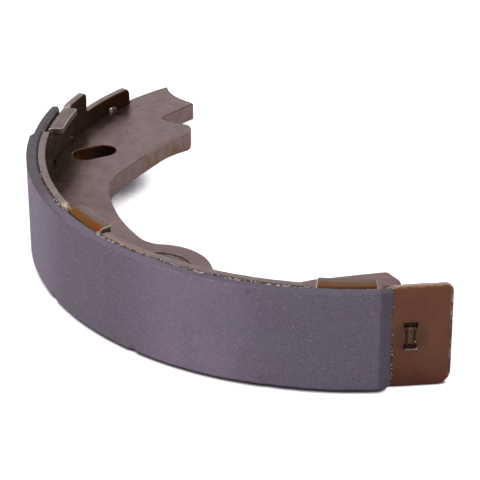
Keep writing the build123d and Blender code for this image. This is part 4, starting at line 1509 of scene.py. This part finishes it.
class BRAKE_SHOE_OT_bond(bpy.types.Operator):
    """Finish the adhesive, and build its bead and crumbs"""

    bl_idname = "brake_shoe.bond"
    bl_label = "Build the bond line"

    def execute(self, context):
        """Dress the film and make the squeezed-out bead and the crumbs."""
        look = palette(context.scene)
        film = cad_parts["adhesive_film"].data
        film.materials.clear()
        film.materials.append(bond_finish("Adhesive", look, look.bond_dark, 0.55))
        dress(build_bead(), bond_finish("Squeezed bead", look, look.bead_green, 0.6))
        dress(build_crumbs(context.scene.shoe_sizes), crumb_finish(look))
        return {"FINISHED"}


class BRAKE_SHOE_OT_studio(bpy.types.Operator):
    """Build the floor, the lights and the camera"""

    bl_idname = "brake_shoe.studio"
    bl_label = "Build the studio"

    def execute(self, context):
        """Set the stage, the room, the lights and the camera."""
        studio = context.scene.shoe_studio
        add_camera(studio)
        add_floor(studio)
        add_world(studio)
        add_light("top", seen_from_camera(-0.15, 0.25, 0.9), studio.key_power, 0.9)
        add_light("side", seen_from_camera(-0.9, -0.35, 0.45), studio.side_power, 0.6)
        context.scene.view_settings.view_transform = "Standard"
        return {"FINISHED"}


class BRAKE_SHOE_PT_panel(bpy.types.Panel):
    """Sidebar panel with the shoe's settings and steps"""

    bl_idname = "BRAKE_SHOE_PT_panel"
    bl_label = "Brake shoe"
    bl_space_type = "VIEW_3D"
    bl_region_type = "UI"
    bl_category = "Brake shoe"

    def draw(self, context):
        """List the settings and the steps."""
        for key, group in SETTINGS.items():
            box = self.layout.box()
            box.label(text=group.__doc__)
            for setting in group.__annotations__:
                box.prop(getattr(context.scene, key), setting)
        for step in STEPS:
            self.layout.operator(step.bl_idname)


SETTINGS = {"shoe_sizes": ShoeSizes, "shoe_colours": ShoeColours, "shoe_studio": ShoeStudio}
STEPS = (
    BRAKE_SHOE_OT_table,
    BRAKE_SHOE_OT_web,
    BRAKE_SHOE_OT_tenons,
    BRAKE_SHOE_OT_lining,
    BRAKE_SHOE_OT_bond,
    BRAKE_SHOE_OT_studio,
)


def register():
    """Register the classes and their settings."""
    for cls in (*SETTINGS.values(), *STEPS, BRAKE_SHOE_PT_panel):
        bpy.utils.register_class(cls)
    for key, group in SETTINGS.items():
        setattr(bpy.types.Scene, key, bpy.props.PointerProperty(type=group))


def unregister():
    """Remove the settings and the classes."""
    for key in SETTINGS:
        delattr(bpy.types.Scene, key)
    for cls in (BRAKE_SHOE_PT_panel, *reversed(STEPS), *SETTINGS.values()):
        bpy.utils.unregister_class(cls)


def main():
    """Build the shoe and its studio."""
    register()
    bpy.ops.brake_shoe.table()
    bpy.ops.brake_shoe.web()
    bpy.ops.brake_shoe.tenons()
    bpy.ops.brake_shoe.lining()
    bpy.ops.brake_shoe.bond()
    bpy.ops.brake_shoe.studio()


if __name__ == "__main__":
    main()
